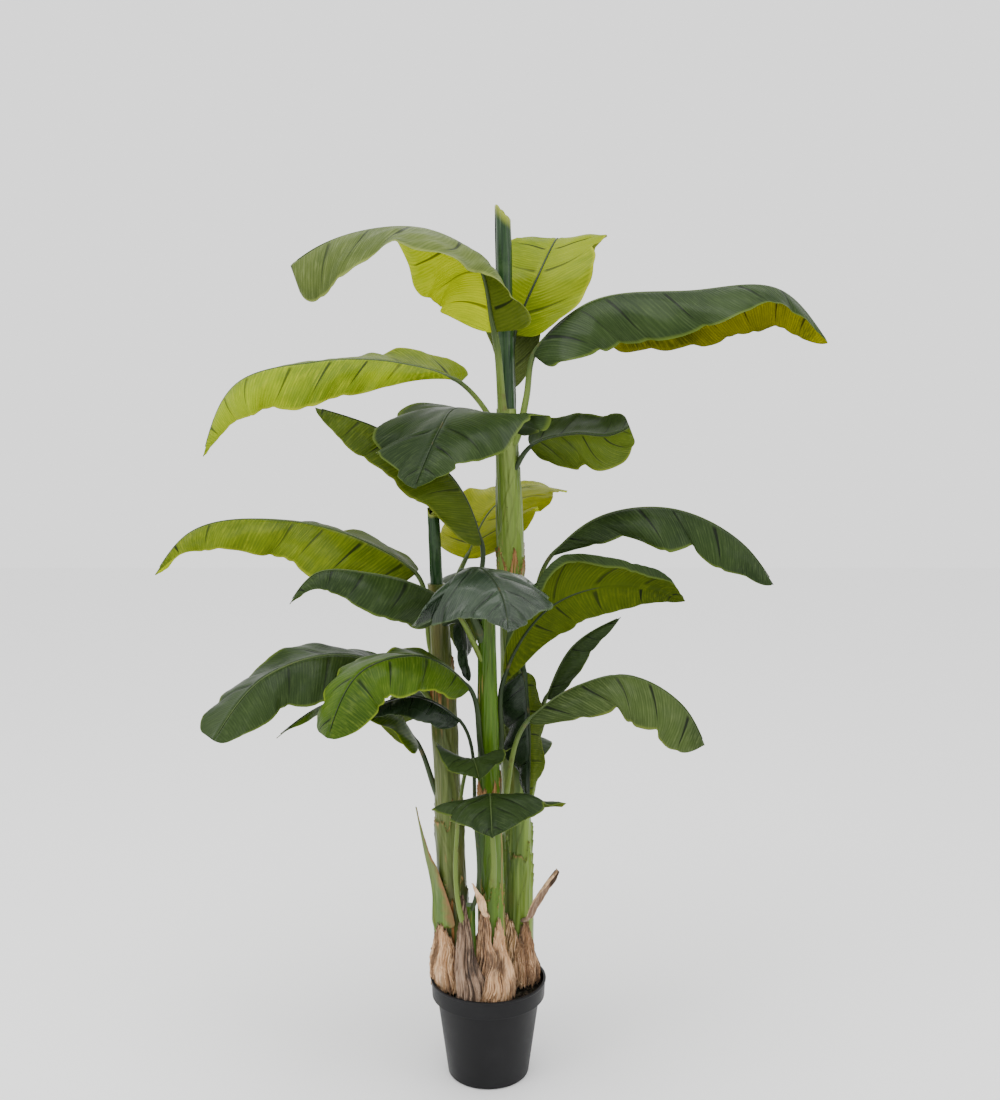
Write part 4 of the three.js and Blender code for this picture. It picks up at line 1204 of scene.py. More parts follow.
# %% Stalk
ROUND = 12             # sides of a stalk
STALK_RADIUS = 6.0
STALK_FOOT = 1.15      # radius at the stem and at the blade, as shares of the stalk's
STALK_HEAD = 0.85
CLASP = 0.9            # how much wider it is where it clasps the stem
CLASP_REACH = 28       # in millimetres
MIDRIB_TAPER = 0.82    # share of the radius that is lost towards the tip
MIDRIB_SINK = 0.85     # how far the midrib lies under the blade, of its radius
GROOVE_SHARE = 0.22    # depth of the petiole's groove, of the radius
PETIOLE_ROWS = 24
MIDRIB_ROWS = 60


def stalk_surface(leaf, line, base_at):
    """A tube along the whole line: round on the petiole, thin and low under the blade."""
    stalk = leaf.get("stalk", STALK_RADIUS)
    length = line.knots[-1] - base_at
    foot = np.linspace(0, 1, PETIOLE_ROWS + 1)[:-1]
    v = np.linspace(0, 0.97, MIDRIB_ROWS)
    distance = np.concatenate([base_at * foot, base_at + length * v])
    on_blade = np.clip((distance - base_at) / length, 0, 1)
    on_foot = np.clip(distance / base_at, 0, 1)
    centre, direction = line.read(distance)
    side, up = blade_frame(leaf, direction, on_blade)

    radius = stalk * (STALK_FOOT + (STALK_HEAD - STALK_FOOT) * on_foot)
    radius = radius * (1 - MIDRIB_TAPER * on_blade**0.8) * (1 - 0.25 * fade(on_blade, 0, 0.1))
    clasp = 1 + CLASP * np.exp(-distance / CLASP_REACH)
    lower = fade(on_blade, 0, 0.08) * radius * MIDRIB_SINK
    angle = (math.pi - np.arange(ROUND) * 2 * math.pi / ROUND)[None, :]
    groove = np.exp(-((angle - math.pi / 2) / 0.6)**2) * (1 - fade(on_blade, 0, 0.1))[:, None]
    across = (radius * clasp)[:, None] * np.cos(angle)
    height = radius[:, None] * np.sin(angle) * (1 - GROOVE_SHARE * groove) - lower[:, None]
    ring = centre[:, None, :] + side[:, None, :] * across[..., None] + up[:, None, :] * height[..., None]
    turn = np.arange(ROUND + 1) / ROUND
    pattern = np.stack(np.meshgrid(turn, on_foot + on_blade, indexing="xy"), axis=-1)
    return surface(ring * MM, pattern, closed=True, capped=True, material=STALK, strength=0.0)


def make_leaf(name, leaf, look, seed, slot, waves=1.0, creases=1.0, flap=None):
    """Blade and stalk as one piece that stands for the leaf's solid."""
    line, base_at = midrib_of(leaf)
    blade = blade_surface(leaf, line, base_at, seed, waves, creases, flap)
    return piece("fine_" + name, [blade, stalk_surface(leaf, line, base_at)], look, [name])


print("sides of a stalk:", ROUND)

# %% [markdown]
# ## Every leaf with its own look
#
# The photo shows no two leaves alike: some are dark and glossy, some yellow-green, and some
# differ from half to half. LOOKS names the finishes of each leaf: its top, its underside
# and its stalk, then the right half's top and underside where they differ. LIVELINESS says
# where the waves and creases are stronger or weaker than on a common leaf. FLAPS says which
# leaf has a margin turned over: how far, by how many degrees, and between which shares of
# its length the band starts and ends.

# %% Looks
LOOKS = {
    "leaf_top_left": ("mid", "olive", "green", "mid", "lime"),
    "leaf_top_right": ("pale", "pale", "dark"),
    "leaf_top_back": ("mid", "lime", "green"),
    "leaf_upper_right": ("dark", "stripe", "green"),
    "leaf_upper_left": ("yellow", "lime", "green", "lively"),
    "leaf_upper_front": ("dark", "dark", "dark"),
    "leaf_upper_right_short": ("dark", "green", "dark", "green"),
    "leaf_centre_rising": ("green", "olive", "dark"),
    "leaf_centre_yellow": ("vivid", "lime", "green"),
    "leaf_middle_left": ("lively", "lime", "green", "green"),
    "leaf_middle_left_low": ("dark", "olive", "green"),
    "leaf_middle_front": ("glossy", "green", "dark", "glossy", "deep"),
    "leaf_middle_back": ("dark", "green", "green"),
    "leaf_middle_right": ("dark", "green", "green"),
    "leaf_bright_left": ("bright", "green", "dark"),
    "leaf_low_left": ("dark", "green", "green"),
    "leaf_low_left_under": ("bright", "green", "dark"),
    "leaf_low_back_left": ("dark", "green", "green"),
    "leaf_low_back_right": ("dark", "green", "green"),
    "leaf_underside_right": ("dark", "patched", "dark"),
    "leaf_narrow_right": ("dark", "dark", "green"),
    "leaf_low_right": ("moss", "green", "green", "moss"),
    "leaf_hanging_right": ("green", "green", "dark", "deep"),
    "leaf_hanging_middle": ("deep", "green", "dark"),
    "leaf_small_left": ("deep", "green", "dark"),
    "leaf_small_front": ("dark", "green", "green"),
    "leaf_lowest_front": ("dark", "green", "green"),
}
LIVELINESS = {
    "leaf_middle_front": dict(waves=1.3, creases=3.0),
    "leaf_top_left": dict(waves=0.6, creases=1.2),
    "leaf_upper_front": dict(waves=1.4, creases=2.6),
    "leaf_low_left": dict(waves=1.2, creases=1.4),
    "leaf_bright_left": dict(waves=1.1, creases=1.4),
    "leaf_middle_left": dict(waves=1.1, creases=1.6),
    "leaf_low_right": dict(waves=1.3, creases=1.6),
    "leaf_middle_right": dict(waves=1.3, creases=1.4),
}
FLAPS = {
    "leaf_underside_right": dict(reach=23, turn=160, starts=(0.08, 0.3), ends=(0.82, 0.97)),
}
print("looks:", len(LOOKS), "livelier leaves:", len(LIVELINESS), "turned margins:", len(FLAPS))

# %% [markdown]
# ## Making all leaves
#
# Now each leaf is one call. Its seed grows from leaf to leaf, so every leaf draws its own
# waves, and draws the same ones each time.

# %% Every leaf


def finishes(top, under, stalk, right_top=None, right_under=None):
    """The materials of a leaf: left top, left underside, stalk, right top, right underside."""
    return [FACES[top], FACES[under], STALKS[stalk], FACES[right_top or top], FACES[right_under or under]]


node_slots = {row["node"]: row["material_slot"] for row in frame["record"]["subparts"]}
for order, (name, leaf) in enumerate(LEAVES.items()):
    look = finishes(*LOOKS[name])
    lively = LIVELINESS.get(name, {})
    make_leaf(name, leaf, look, 100 + 11 * order, node_slots[name], flap=FLAPS.get(name), **lively)

# %% [markdown]
# ## The false stems
#
# A banana's stem is only the wrapped bases of its leaves. Below each leaf a sheath runs
# down and round: narrow at its leaf and ever wider below, until its two free edges pass
# each other at the back. Each sheath adds a millimetre of thickness inside those edges, so
# the edges show as long slanting steps. Where a sheath was torn off, its end is ragged,
# stands proud and has gone dry. Sheets wrapped one over another would mostly be hidden, so
# one tube shows the edges of them all.

# %% Sheaths
SHEATH_STEP = 1.0      # height of the step at a sheath's free edge, in millimetres
SHEATH_REACH = 300.0   # how far below its leaf a sheath has closed round the stem
SHEATH_START = 12      # how far above its leaf it begins
SHEATH_NARROW = 22     # half its width in degrees round the stem there, and where it has closed
SHEATH_CLOSED = 180


def sheath_layers(name, stem, angle, z):
    """How thick the wrapped sheaths are at each place, and how near the next free edge is."""
    layers, rim = 0.0, 0.0
    # The leaves are taken by name, and their order gives each sheath its seed.
    for order, (_, leaf) in enumerate(sorted(LEAVES.items())):
        if leaf["stem"] != name:
            continue
        line, _ = midrib_of(leaf)
        towards = line.points[1] - line.points[0]
        facing = leaf.get("sheath_facing", math.degrees(math.atan2(towards[1], towards[0])))
        below = (leaf["start"] + SHEATH_START - z) / SHEATH_REACH
        spread = SHEATH_NARROW + (SHEATH_CLOSED - SHEATH_NARROW) * np.clip(below, 0, 1)**0.75
        spread = spread + 4 * wander(order, z / 90)
        turned = (np.degrees(angle) - facing + 180) % 360 - 180
        inside = (spread - np.abs(turned)) * np.clip(below * 40, 0, 1)
        reach = np.radians(inside) * stem_radius(stem, z)
        layers = layers + fade(reach, 0, 1.5) * (1 - fade(below, 0.75, 1.05))
        edge = np.exp(-((reach - 1.2) / 1.7)**2) * fade(below, -0.01, 0.05) * (1 - fade(below, 0.8, 1.0))
        rim = np.maximum(rim, 0.22 * edge)
    return layers, rim


print("sheaths of the tall stem:", sum(leaf["stem"] == "tall" for leaf in LEAVES.values()))

# %% [markdown]
# ## From sheaths to a stem
#
# The stem itself is a tube whose radius is the stem's rule plus its sheaths. A torn sheath
# ends in a jagged line, which is a slow random wave round the stem. Below that line a skirt
# of dry brown tongues fades away, long on the uppermost sheath and short on the others.

# %% Building a stem
STEM_COLUMNS = 112
STEM_ROW = 3.2         # millimetres from row to row
JAG_HEIGHT = 36        # how far a torn edge strays up and down
TONGUES = (60, 13)     # lengths of the dry skirt: of the uppermost sheath, and of the others
DRYNESS = (0.9, 0.6)   # how brown they are at the torn edge


def torn_ends(stem, seed, c, s, z):
    """Heights of the torn edges round the stem, how dry each place is and how near an edge.

    c and s are the cosine and sine of the angle round the stem. The dryness falls off below
    an edge as e to the power of minus the distance over the length of the tongue.
    """
    ends, dry, rim = [], np.zeros_like(z), np.zeros_like(z)
    for order, end in enumerate(stem["sheath_ends"]):
        kind = min(order, 1)
        jag = wander(seed + order, c, s) * JAG_HEIGHT + wander(seed + 50 + order, 4 * c, 4 * s) * 3
        ends.append(end + jag)
        below = end + jag - z
        tongue = TONGUES[kind] * (1 + 0.8 * wander(seed + 80 + order, 1.6 * c, 1.6 * s))
        skirt = np.exp(-np.maximum(below, 0) / tongue) * DRYNESS[kind]
        dry = np.maximum(dry, np.where(below > -1, skirt, 0))
        rim = np.maximum(rim, np.exp(-((below - 1) / 1.6)**2) * 0.7)
    return ends, dry, rim


def make_stem(name, stem, seed, material):
    """A tube whose radius follows the stem's rule, with sheath steps and ragged ends."""
    top = stem["top"][2]
    heights = np.linspace(STEM_FOOT, top, int((top - STEM_FOOT) / STEM_ROW))
    turn = np.arange(STEM_COLUMNS) / STEM_COLUMNS
    z, around = np.meshgrid(heights, turn, indexing="ij")
    angle = around * 2 * math.pi
    c, s = np.cos(angle), np.sin(angle)
    layers, free_edge = sheath_layers(name, stem, angle, z)
    ends, dry, torn_edge = torn_ends(stem, seed, c, s, z)
    radius = stem_radius(stem, z, ends) + SHEATH_STEP * (layers - 1.2)
    radius = radius + 0.5 * wander(seed + 7, 2 * c, 2 * s, z / 120)
    radius = radius + 0.15 * wander(seed + 8, 9 * c, 9 * s, z / 200)
    dry = np.maximum(dry, 0.42 * fade(wander(seed + 9, 1.2 * c, 1.2 * s, z / 150), 0.6, 1.3))
    points = stem_axis(stem, z) + radius[..., None] * np.stack([c, s, 0 * c], axis=-1)
    pattern = np.stack(np.meshgrid(np.arange(STEM_COLUMNS + 1) / STEM_COLUMNS, heights / 100), axis=-1)
    rim = np.maximum(free_edge, torn_edge)
    made = surface(points * MM, pattern, closed=True, capped=True, dry=dry, rim=rim)
    return piece("fine_stem_" + name, [made], [material], ["stem_" + name])


for order, (name, stem) in enumerate(STEMS.items()):
    # The left, front and sucker stems take the darker copies, which are partly painted shade.
    green = {"tall": stem_green, "left": stem_olive_shaded}.get(name, stem_vivid_shaded)
    made = make_stem(name, stem, 300 + 100 * order, green)
    print(made.name, len(made.data.polygons), "faces")

# %% [markdown]
# ## The rolled young leaves
#
# The newest leaf of a stem comes up rolled like a sheet of paper. Its section is a spiral:
# the radius shrinks a little with every turn, and the top is cut on a slant, so the mouth
# shows the layers inside. Dark glossy green outside, it fades to yellow-green at the rim.

# %% Finish of the rolled leaves


def spear_finish():
    """Glossy deep green with lengthwise veins that fade to yellow-green at the mouth."""
    material, tree, shader, where, uv = recipe("spear_green", coat=0.25, coat_roughness=0.15, specular=0.15)
    _, along = pattern_axes(tree, uv)
    veins = cloud(tree, where, (240.0, 240.0, 9.0), 4.0, 0.6)
    colour = blend(tree, ease(tree, veins, 0.35, 0.7), (0.006, 0.024, 0.006), (0.022, 0.060, 0.014))
    clouds = ease(tree, cloud(tree, where, 30.0), 0.5, 0.75, 0.0, 0.6)
    colour = blend(tree, clouds, colour, (0.040, 0.080, 0.024))
    colour = blend(tree, ease(tree, along, 0.93, 1.0), colour, (0.230, 0.270, 0.030))
    dress(tree, shader, colour, ease(tree, veins, 0.3, 0.7, 0.28, 0.42), raised(tree, veins, 0.0010, 0.6))
    return material


spear_green = spear_finish()
print("finish:", spear_green.name)

# %% [markdown]
# ## Rolling a sheet
#
# One coordinate runs up the roll, the other along the spiral. The outermost turn has the
# roll's full radius, and each turn inside it is a little tighter. An extruded spiral curve
# would end level, while here every point of the mouth gets its own height.

# %% Building a rolled leaf
ROLL_TURNS = 1.75
ROLL_PITCH = 3.2       # how much the radius shrinks with each turn, in millimetres
ROLL_DEPTH = 12        # how far the roll starts below the top of its stem
ROLL_EDGE = 70         # degrees from the slant's facing to the sheet's inner edge
ROLL_GRID = (90, 130)  # points up the roll and along the spiral


def make_spear(name, spear, seed, material):
    """A sheet along a spiral of the angle, from the stem's top to a slanting mouth."""
    stem = STEMS[name]
    foot = stem_axis(stem, float(stem["top"][2])) - (0, 0, ROLL_DEPTH)
    tip = np.array(spear["tip"], float)
    k, w = np.meshgrid(*(np.linspace(0, 1, points) for points in ROLL_GRID), indexing="ij")
    angle = np.radians(spear["slant_facing"] + ROLL_EDGE) + w * ROLL_TURNS * 2 * math.pi
    radius = spear["radius"] + (spear["tip_radius"] - spear["radius"]) * k
    radius = radius - SHEET - ROLL_PITCH * ROLL_TURNS * (1 - w) + 0.4 * wander(seed, w * 4, k * 3)
    centre = foot + (tip - foot) * k[..., None]
    points = centre + radius[..., None] * np.stack([np.cos(angle), np.sin(angle), 0 * k], axis=-1)
    lean = (np.cos(angle - math.radians(spear["slant_facing"])) * radius / spear["radius"] - 1) / 2
    points[..., 2] += spear["slant"] * lean * fade(k, 0.7, 1) + 2.5 * wander(seed + 1, w * 5) * k**8
    sheet = surface(points * MM, np.stack([w, k], axis=-1))
    made = piece("fine_spear_" + name, [sheet], [material], ["spear_" + name])
    return thicken(made, SHEET * MM)


for order, (name, spear) in enumerate(SPEARS.items()):
    print(make_spear(name, spear, 700 + order, spear_green).name)

# %% [markdown]
# ## Dry sheaths at the foot
#
# The oldest sheaths have dried to paper. They still wrap the stems, but crumple along
# their length, gape at the foot and end in rags. Each is a sheet bent round the stem, with
# wrinkles that run up it and both its ends torn by a random line.

# %% Husks as numbers
# stem, then the layers: compass facing, degrees round the stem at foot and top, height, belly
HUSKS = {
    "husk_left": ("left", [dict(facing=228, foot=150, top=84, height=150, belly=11, paper="tan")]),
    "husk_left_inner": ("left", [dict(facing=305, foot=100, top=26, height=205, belly=7, paper="brown")]),
    "husk_front": ("front", [
        dict(facing=246, foot=130, top=40, height=222, belly=9, paper="brown"),
        dict(facing=298, foot=120, top=40, height=186, belly=12, paper="tan"),
    ]),
    "husk_right": ("tall", [
        dict(facing=238, foot=100, top=60, height=160, belly=7, paper="tan"),
        dict(facing=292, foot=90, top=40, height=150, belly=9, paper="brown"),
    ]),
}
SUCKER_HUSK = dict(facing=222, foot=290, top=90, height=238, belly=10, paper="dark")
print("husks:", ", ".join(HUSKS), "and one round the sucker")

# %% [markdown]
# ## Crumpled paper round a stem
#
# The folds are a random wave round the stem, turned into sharp ridges by taking its size
# without its sign. They hardly change along the fibres, which is what makes them look like
# folds in a dried sheath. Where a fold lies deep, the finish darkens it as painted shade. A
# cloth simulation crumples a sheet too, but it can't be told where the folds should lie.

# %% Building a husk
PAPER = 0.9            # thickness in millimetres
GAP = 3.4              # between stem and paper
LEAST_GAP = 1.2
FOLD_DEPTH = 3.6
CRINKLES = 1.1         # heights of the finer folds, the fibres and the crumpling along them
PAPER_FIBRES = 0.35
CRUMPLES = 0.7
TORN_TOP = (6, 3)      # heights of the slow and the fast wave of the torn line at the top
TORN_FOOT = (6, 4)     # and at the foot
HUSK_GRID = (130, 110)  # points up the paper and round the stem


def husk_layer(stem, layer, seed):
    """A sheet round part of the stem: its radius is the stem's plus a belly and folds."""
    rows, columns = HUSK_GRID
    k, w = np.meshgrid(np.linspace(0, 1, rows), np.linspace(-0.5, 0.5, columns), indexing="ij")
    span = layer["foot"] + (layer["top"] - layer["foot"]) * k**0.8
    angle = layer["facing"] + span * w * (1 + 0.07 * wander(seed, k * 1.6, w)) + 3 * wander(seed + 1, k * 1.8)
    point = layer["height"] * (1 - 0.22 * np.abs(2 * w)**1.5 * k)
    torn_top = TORN_TOP[0] * wander(seed + 2, w * 6) + TORN_TOP[1] * wander(seed + 3, w * 19)
    torn_foot = 6 + TORN_FOOT[0] * wander(seed + 4, w * 7) + TORN_FOOT[1] * wander(seed + 5, w * 24)
    z = STEM_FOOT + point * k + torn_top * k**4 + torn_foot * (1 - k)**5
    belly = layer["belly"] * np.sin(math.pi * np.clip((k + 0.25) / 1.15, 0, 1))**1.4
    folds = 1 - 1.8 * np.abs(wander(seed + 6, w * 5.5 + 0.2 * wander(seed + 9, k * 1.5), k * 0.5))
    small = wander(seed + 7, w * 24, k * 1.1)
    fibres = wander(seed + 10, w * 62, k * 1.6)
    crumple = wander(seed + 8, w * 5, k * 6)
    radius = stem_radius(stem, z) + GAP + belly + FOLD_DEPTH * folds
    radius = radius + CRINKLES * small + PAPER_FIBRES * fibres + CRUMPLES * crumple
    radius = np.maximum(radius, stem_radius(stem, z) + LEAST_GAP)
    radius = radius + 4 * np.abs(w * 2)**6 * (1 - k) + 2.5 * k**6
    points = stem_axis(stem, z) + radius[..., None] * heading(angle)
    rim = np.maximum(fade(np.abs(w), 0.47, 0.5), np.maximum(fade(k, 0.97, 1), fade(0.04 - k, 0, 0.04)))
    # How far each deep fold is darkened as painted shade.
    hollow = np.clip(0.15 - 0.55 * folds - 0.3 * small - 0.15 * fibres, 0, 1)
    return surface(points * MM, np.stack([w + 0.5, k], axis=-1), rim=rim, hollow=hollow)


def make_husk(name, stem, layer, seed, nodes=()):
    """One layer of paper as a piece of its own."""
    sheet = husk_layer(STEMS[stem], layer, seed)
    return thicken(piece(name, [sheet], [PAPERS[layer["paper"]]], nodes), PAPER * MM)


for order, (name, (stem, layers)) in enumerate(HUSKS.items()):
    for number, layer in enumerate(layers):
        print(make_husk(f"fine_{name}_{number}", stem, layer, 800 + 40 * order + 12 * number, [name]).name)
print(make_husk("husk_of_the_sucker", "sucker", SUCKER_HUSK, 990).name)

# %% [markdown]
# ## The pointed bract and the curled strips
#
# A small green sheath at the lower left and two strips of dry sheath are narrow blades, so
# the leaf's own function makes them, with no creases and their own finishes.

# %% Bract and strips
STRIP_LOOKS = {
    "bract_left": ([bract_green] * 5, "stem"),
    "strip_centre": ([PAPERS["tan"]] * 5, "husk"),
    "strip_right": ([PAPERS[paper] for paper in ("tan", "dark", "dark", "tan", "dark")], "husk"),
}
for order, (name, strip) in enumerate(STRIPS.items()):
    look, slot = STRIP_LOOKS[name]
    print(make_leaf(name, strip, look, 900 + 7 * order, slot, waves=0.4, creases=0.0).name)

# %% [markdown]
# ## The pot
#
# A nursery pot is one thin moulding: a tapered wall, a broad band under the rim and a small
# rolled lip. Its section is a short list of corners, each rounded by a quarter circle of
# points, and the whole is that section turned about the upright axis. Blender's Spin tool
# does the same. Here it is a function, because the filling is turned as well.

# %% Turning a section


def rounded_section(corners, steps=5):
    """Each corner cut back by its rounding and bridged by a parabola through the corner."""
    corners = np.array(corners, float)
    points = [corners[0, :2]]
    t = np.linspace(0, 1, steps)[:, None]
    for before, (x, z, cut), after in zip(corners, corners[1:], corners[2:]):
        here = np.array([x, z])
        first = here + unit(before[:2] - here) * cut
        last = here + unit(after[:2] - here) * cut
        points.extend(first * (1 - t)**2 + here * 2 * t * (1 - t) + last * t**2)
    points.append(corners[-1, :2])
    return np.array(points)


def turned_section(section, sides, ripple=None):
    """The section carried round the upright axis: radius times cosine and sine."""
    radius, z = section[:, 0][:, None], section[:, 1][:, None]
    angle = (np.arange(sides) * 2 * math.pi / sides)[None, :]
    if ripple is not None:
        z = z + ripple(radius, angle)
    points = np.stack([radius * np.cos(angle), radius * np.sin(angle), z + 0 * angle], axis=-1)
    along = np.arange(len(section)) / len(section)
    pattern = np.stack(np.meshgrid(np.arange(sides + 1) / sides, along), axis=-1)
    return surface(points * MM, pattern, closed=True, capped=True)


corner = rounded_section([(0, 0, 0), (9, 0, 1), (9, 9, 0)])
print("points of a section with one rounded corner:", len(corner))

# %% [markdown]
# ## The pot's own section
#
# The numbers are radii and heights in millimetres. Each corner is a radius, a height and
# how far it is rounded. The line starts just off the axis, so that the cap of the turned
# surface closes the floor with a small flat face.

# %% Building the pot
POT = dict(height=210, base=85, neck=108, rim=121.5, band=38, wall=2.6, floor=4, edge=6)
BAND_RADIUS = POT["rim"] - 3
BAND_FOOT = POT["height"] - POT["band"]
AXIS = 0.5             # radius at which a section starts and ends
POT_SIDES = 144


def pot_section():
    """Outside from the foot's middle up to the lip, over it and down the inside."""
    p = POT
    inside = BAND_RADIUS - p["wall"]
    return rounded_section([
        (AXIS, 0, 0), (p["base"], 0, p["edge"]), (p["neck"], BAND_FOOT, 1.2), (BAND_RADIUS, BAND_FOOT, 1.4),
        (BAND_RADIUS + 1.5, p["height"] - 5, 0.8), (p["rim"], p["height"] - 3.6, 0.7),
        (p["rim"], p["height"], 1.3), (inside, p["height"], 1.2), (inside - 1, BAND_FOOT + p["wall"], 1.2),
        (p["neck"] - p["wall"], BAND_FOOT + p["wall"], 1.2), (p["base"] - p["wall"], p["floor"], 3),
        (AXIS, p["floor"], 0),
    ])


def pot_finish():
    """Black moulded plastic: satin, finely pebbled, with faint scuffs and dust."""
    material, tree, shader, where, _ = recipe("pot_black", specular=0.14)
    dust = cloud(tree, where, 9.0, 4.0)
    colour = blend(tree, ease(tree, dust, 0.4, 0.75), (0.008, 0.008, 0.0087), (0.013, 0.013, 0.014))
    scuff = cloud(tree, where, (60.0, 60.0, 600.0), 3.0)
    colour = blend(tree, ease(tree, scuff, 0.66, 0.80, 0.0, 0.4), colour, (0.030, 0.030, 0.031))
    pebble = cloud(tree, where, 1400.0, 2.0)
    height = calc(tree, "MULTIPLY_ADD", scuff, 0.5, pebble)
    dress(tree, shader, colour, ease(tree, dust, 0.3, 0.7, 0.40, 0.54), raised(tree, height, 0.0003, 0.35))
    return material


pot = piece("fine_pot", [turned_section(pot_section(), POT_SIDES)], [pot_finish()], ["pot"])
print("pot:", len(pot.data.polygons), "faces")

# %% [markdown]
# ## The filling
#
# The pot is filled to a finger's width below the rim. The filling is dark and lumpy. It is
# a turned section as well: up along the inside of the pot and then inwards in many rings,
# whose points get a random height.

# %% Building the filling
SOIL_RINGS = 46        # rings of the upper face
SOIL_SIDES = 120
LEVEL = 1.5            # how far the lumps are set down, so that they rise and sink
SOIL_GAP = 1.6         # between the filling and the pot's band


def lumps(x, y):
    """Random height of the filling at a place in the plane: broad lumps and small ones."""
    return 2.6 * wander(41, x / 26, y / 26) + 1.5 * wander(42, x / 9, y / 9, waves=11)


def soil_ripple(radius, angle):
    """The lumps on the upper face, less towards its rim, and nothing elsewhere."""
    upper = (np.arange(len(radius)) >= len(radius) - SOIL_RINGS)[:, None]
    height = lumps(radius * np.cos(angle), radius * np.sin(angle)) * (1 - fade(radius, 92, 108)) - LEVEL
    return np.where(upper, height, 0)


def soil_finish():
    """Almost black, with brown and green crumbs."""
    material, tree, shader, where, _ = recipe("soil_dark", specular=0.2)
    crumbs = cloud(tree, where, 160.0, 5.0, 0.7)
    patches = cloud(tree, where, 34.0, 3.0)
    colour = blend(tree, ease(tree, crumbs, 0.4, 0.7), (0.010, 0.009, 0.008), (0.050, 0.036, 0.024))
    colour = blend(tree, ease(tree, patches, 0.55, 0.7, 0.0, 0.6), colour, (0.030, 0.036, 0.014))
    dress(tree, shader, colour, 0.92, raised(tree, crumbs, 0.004, 1.0))
    return material


def soil_section():
    """Up along the inside of the pot, then inwards over the upper face."""
    inside = BAND_RADIUS - POT["wall"] - SOIL_GAP
    floor = POT["floor"] + 0.4
    ledge = BAND_FOOT + POT["wall"]
    outer = rounded_section([
        (AXIS, floor, 0), (POT["base"] - POT["wall"] - 1, floor, 3),
        (POT["neck"] - POT["wall"] - 0.6, ledge, 1), (inside, ledge + 1, 1), (inside, SOIL_TOP - 2, 0),
    ])
    upper = np.stack([np.linspace(inside, AXIS, SOIL_RINGS), np.full(SOIL_RINGS, SOIL_TOP)], axis=-1)
    return np.concatenate([outer, upper])


filling = turned_section(soil_section(), SOIL_SIDES, soil_ripple)
soil = piece("fine_soil", [filling], [soil_finish()], ["soil"])
print("soil:", len(soil.data.polygons), "faces")

# %% [markdown]
# ## Scraps of moss and bark
#
# Scraps of dark moss and bark are strewn over the filling. They are many small bent chips,
# so each has only two faces, and one array operation places them all in a single mesh.

# %% Scraps
SCRAPS = 900
STREWN = 103           # radius of the circle that they lie in
SCRAP_LENGTHS = (3, 11)
SCRAP_LIFT = 1.2       # millimetres above the filling
SCRAP_THICKNESS = 0.8


def moss_finish():
    """Dark green and brown in soft patches, quite dull."""
    material, tree, shader, where, _ = recipe("moss_and_bark", specular=0.2)
    patches = cloud(tree, where, 45.0, 2.0)
    colour = blend(tree, ease(tree, patches, 0.4, 0.6), (0.018, 0.020, 0.010), (0.055, 0.040, 0.026))
    wire(tree, colour, shader.inputs["Base Color"])
    wire(tree, 0.9, shader.inputs["Roughness"])
    return material


def make_scraps(name, count, seed, material):
    """Chips of two quads each, folded along their length, strewn by a seeded draw."""
    random = np.random.default_rng(seed)
    distance = STREWN * np.sqrt(random.uniform(0.02, 1, count))
    where = random.uniform(0, 2 * math.pi, count)
    length = random.uniform(*SCRAP_LENGTHS, count)
    width = length * random.uniform(0.25, 0.6, count)
    turn = random.uniform(0, math.pi, count)
    tilt = random.uniform(-0.6, 0.6, count)
    u, w = np.meshgrid([-0.5, 0.0, 0.5], [-0.5, 0.5], indexing="ij")
    x = u[None] * length[:, None, None]
    y = w[None] * width[:, None, None]
    z = SCRAP_LIFT - np.abs(u[None]) * 3 + x * np.sin(tilt)[:, None, None] + 0 * y
    cos, sin = np.cos(turn)[:, None, None], np.sin(turn)[:, None, None]
    px = (distance * np.cos(where))[:, None, None] + x * cos - y * sin
    py = (distance * np.sin(where))[:, None, None] + x * sin + y * cos
    ground = SOIL_TOP + (lumps(px, py) - LEVEL)
    points = np.stack([px, py, ground + z + SCRAP_LIFT], axis=-1) * MM
    quads = np.array([[0, 1, 3, 2], [2, 3, 5, 4]])
    loops = (quads[None] + 6 * np.arange(count)[:, None, None]).reshape(-1)
    chips = {
        "points": points.reshape(-1, 3), "loops": loops, "sizes": np.full(2 * count, 4),
        "corners": np.zeros((len(loops), 2)), "finish": np.zeros(2 * count, int), "marks": {},
    }
    return thicken(piece(name, [chips], [material]), SCRAP_THICKNESS * MM)


scraps = make_scraps("moss_scraps", SCRAPS, 77, moss_finish())
print("scraps:", len(scraps.data.polygons), "faces before thickness")

# %% [markdown]
# ## The floor
#
# The plant was photographed in a white studio, so it stands on a large pale floor.

# %% The floor
FLOOR_SIZE = 14.0      # metres
FLOOR_COLOUR = (0.93, 0.93, 0.93, 1)


def make_floor():
    """A large flat square at the pot's foot."""
    half = FLOOR_SIZE / 2
    x, y = np.meshgrid([-half, half], [-half, half], indexing="xy")
    mesh = bpy.data.meshes.new("floor")
    mesh.from_pydata(np.stack([x, y, 0 * x], axis=-1).reshape(-1, 3).tolist(), [], [(0, 1, 3, 2)])
    floor = bpy.data.objects.new("floor", mesh)
    bpy.context.collection.objects.link(floor)
    material = bpy.data.materials.new("floor_white")
    material.use_nodes = True
    shader = material.node_tree.nodes["Principled BSDF"]
    shader.inputs["Base Color"].default_value = FLOOR_COLOUR
    shader.inputs["Roughness"].default_value = 0.9
    mesh.materials.append(material)
    return floor


print("stage:", make_floor().name)

# %% [markdown]
# ## The light
#
# A bright even surround and three large soft lamps give the same broad sheen on the leaves
# as in the photo. A lamp points along its own -Z, so it is turned until that axis looks at
# the middle of the plant.

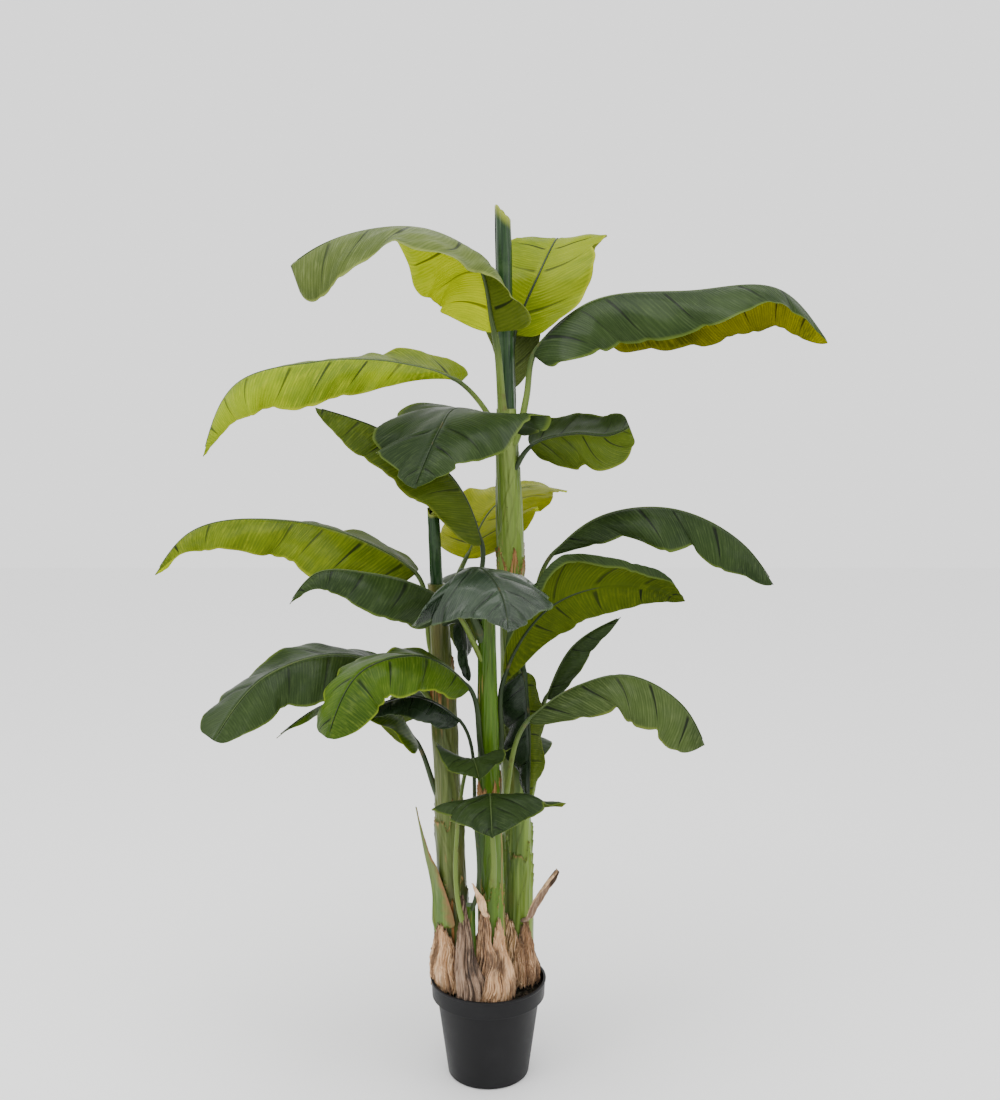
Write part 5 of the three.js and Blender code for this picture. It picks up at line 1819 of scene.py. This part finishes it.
# %% Lamps and surround
AIM = (0, 0, 1.0)
LAMPS = {
    "lamp_overhead": dict(place=(-0.4, -0.7, 4.2), size=2.2, power=80),
    "lamp_left": dict(place=(-3.0, -2.6, 3.0), size=1.5, power=36),
    "lamp_right": dict(place=(3.2, -1.6, 2.4), size=1.5, power=16),
}
SURROUND = 1.6         # strength of the white surround


def make_lamp(name, place, size, power):
    """A square soft lamp that points at the middle of the plant."""
    light = bpy.data.lights.new(name, "AREA")
    light.size = size
    light.energy = power
    lamp = bpy.data.objects.new(name, light)
    lamp.location = place
    lamp.rotation_euler = (Vector(AIM) - Vector(place)).to_track_quat("-Z", "Y").to_euler()
    bpy.context.collection.objects.link(lamp)
    return lamp


for name, lamp in LAMPS.items():
    print(make_lamp(name, **lamp).name, lamp["power"], "watts")
world = bpy.data.worlds.new("studio")
world.use_nodes = True
background = world.node_tree.nodes["Background"]
background.inputs["Color"].default_value = (1, 1, 1, 1)
background.inputs["Strength"].default_value = SURROUND
bpy.context.scene.world = world

# %% [markdown]
# ## The camera
#
# The camera stood at about head height and looked a little down. Its height, distance and
# tilt come from the ellipses of the pot's rim and foot, and its focal length is measured
# in pixels of the photo.

# %% The camera
CAMERA_PLACE = (0.0245, -2.600, 1.483)  # metres
CAMERA_TILT = 8.0      # degrees below the horizon
FOCAL_PIXELS = 1303.0  # of an image 1100 pixels high
IMAGE_HEIGHT = 1100.0
SENSOR_WIDTH = 36      # millimetres, laid along the longer side of the image

lens = bpy.data.cameras.new("camera")
lens.sensor_fit = "AUTO"
lens.sensor_width = SENSOR_WIDTH
lens.lens = FOCAL_PIXELS * SENSOR_WIDTH / IMAGE_HEIGHT
camera = bpy.data.objects.new("camera", lens)
camera.location = CAMERA_PLACE
camera.rotation_euler = (math.radians(90 - CAMERA_TILT), 0, 0)
bpy.context.collection.objects.link(camera)
bpy.context.scene.camera = camera
print("lens:", round(lens.lens, 2), "mm")

# %% [markdown]
# ## The end
#
# The fine pieces have to stay within the box of the plain solids. The view layer is
# brought up to date before the frame takes over.

# %% The end
bpy.context.view_layer.update()
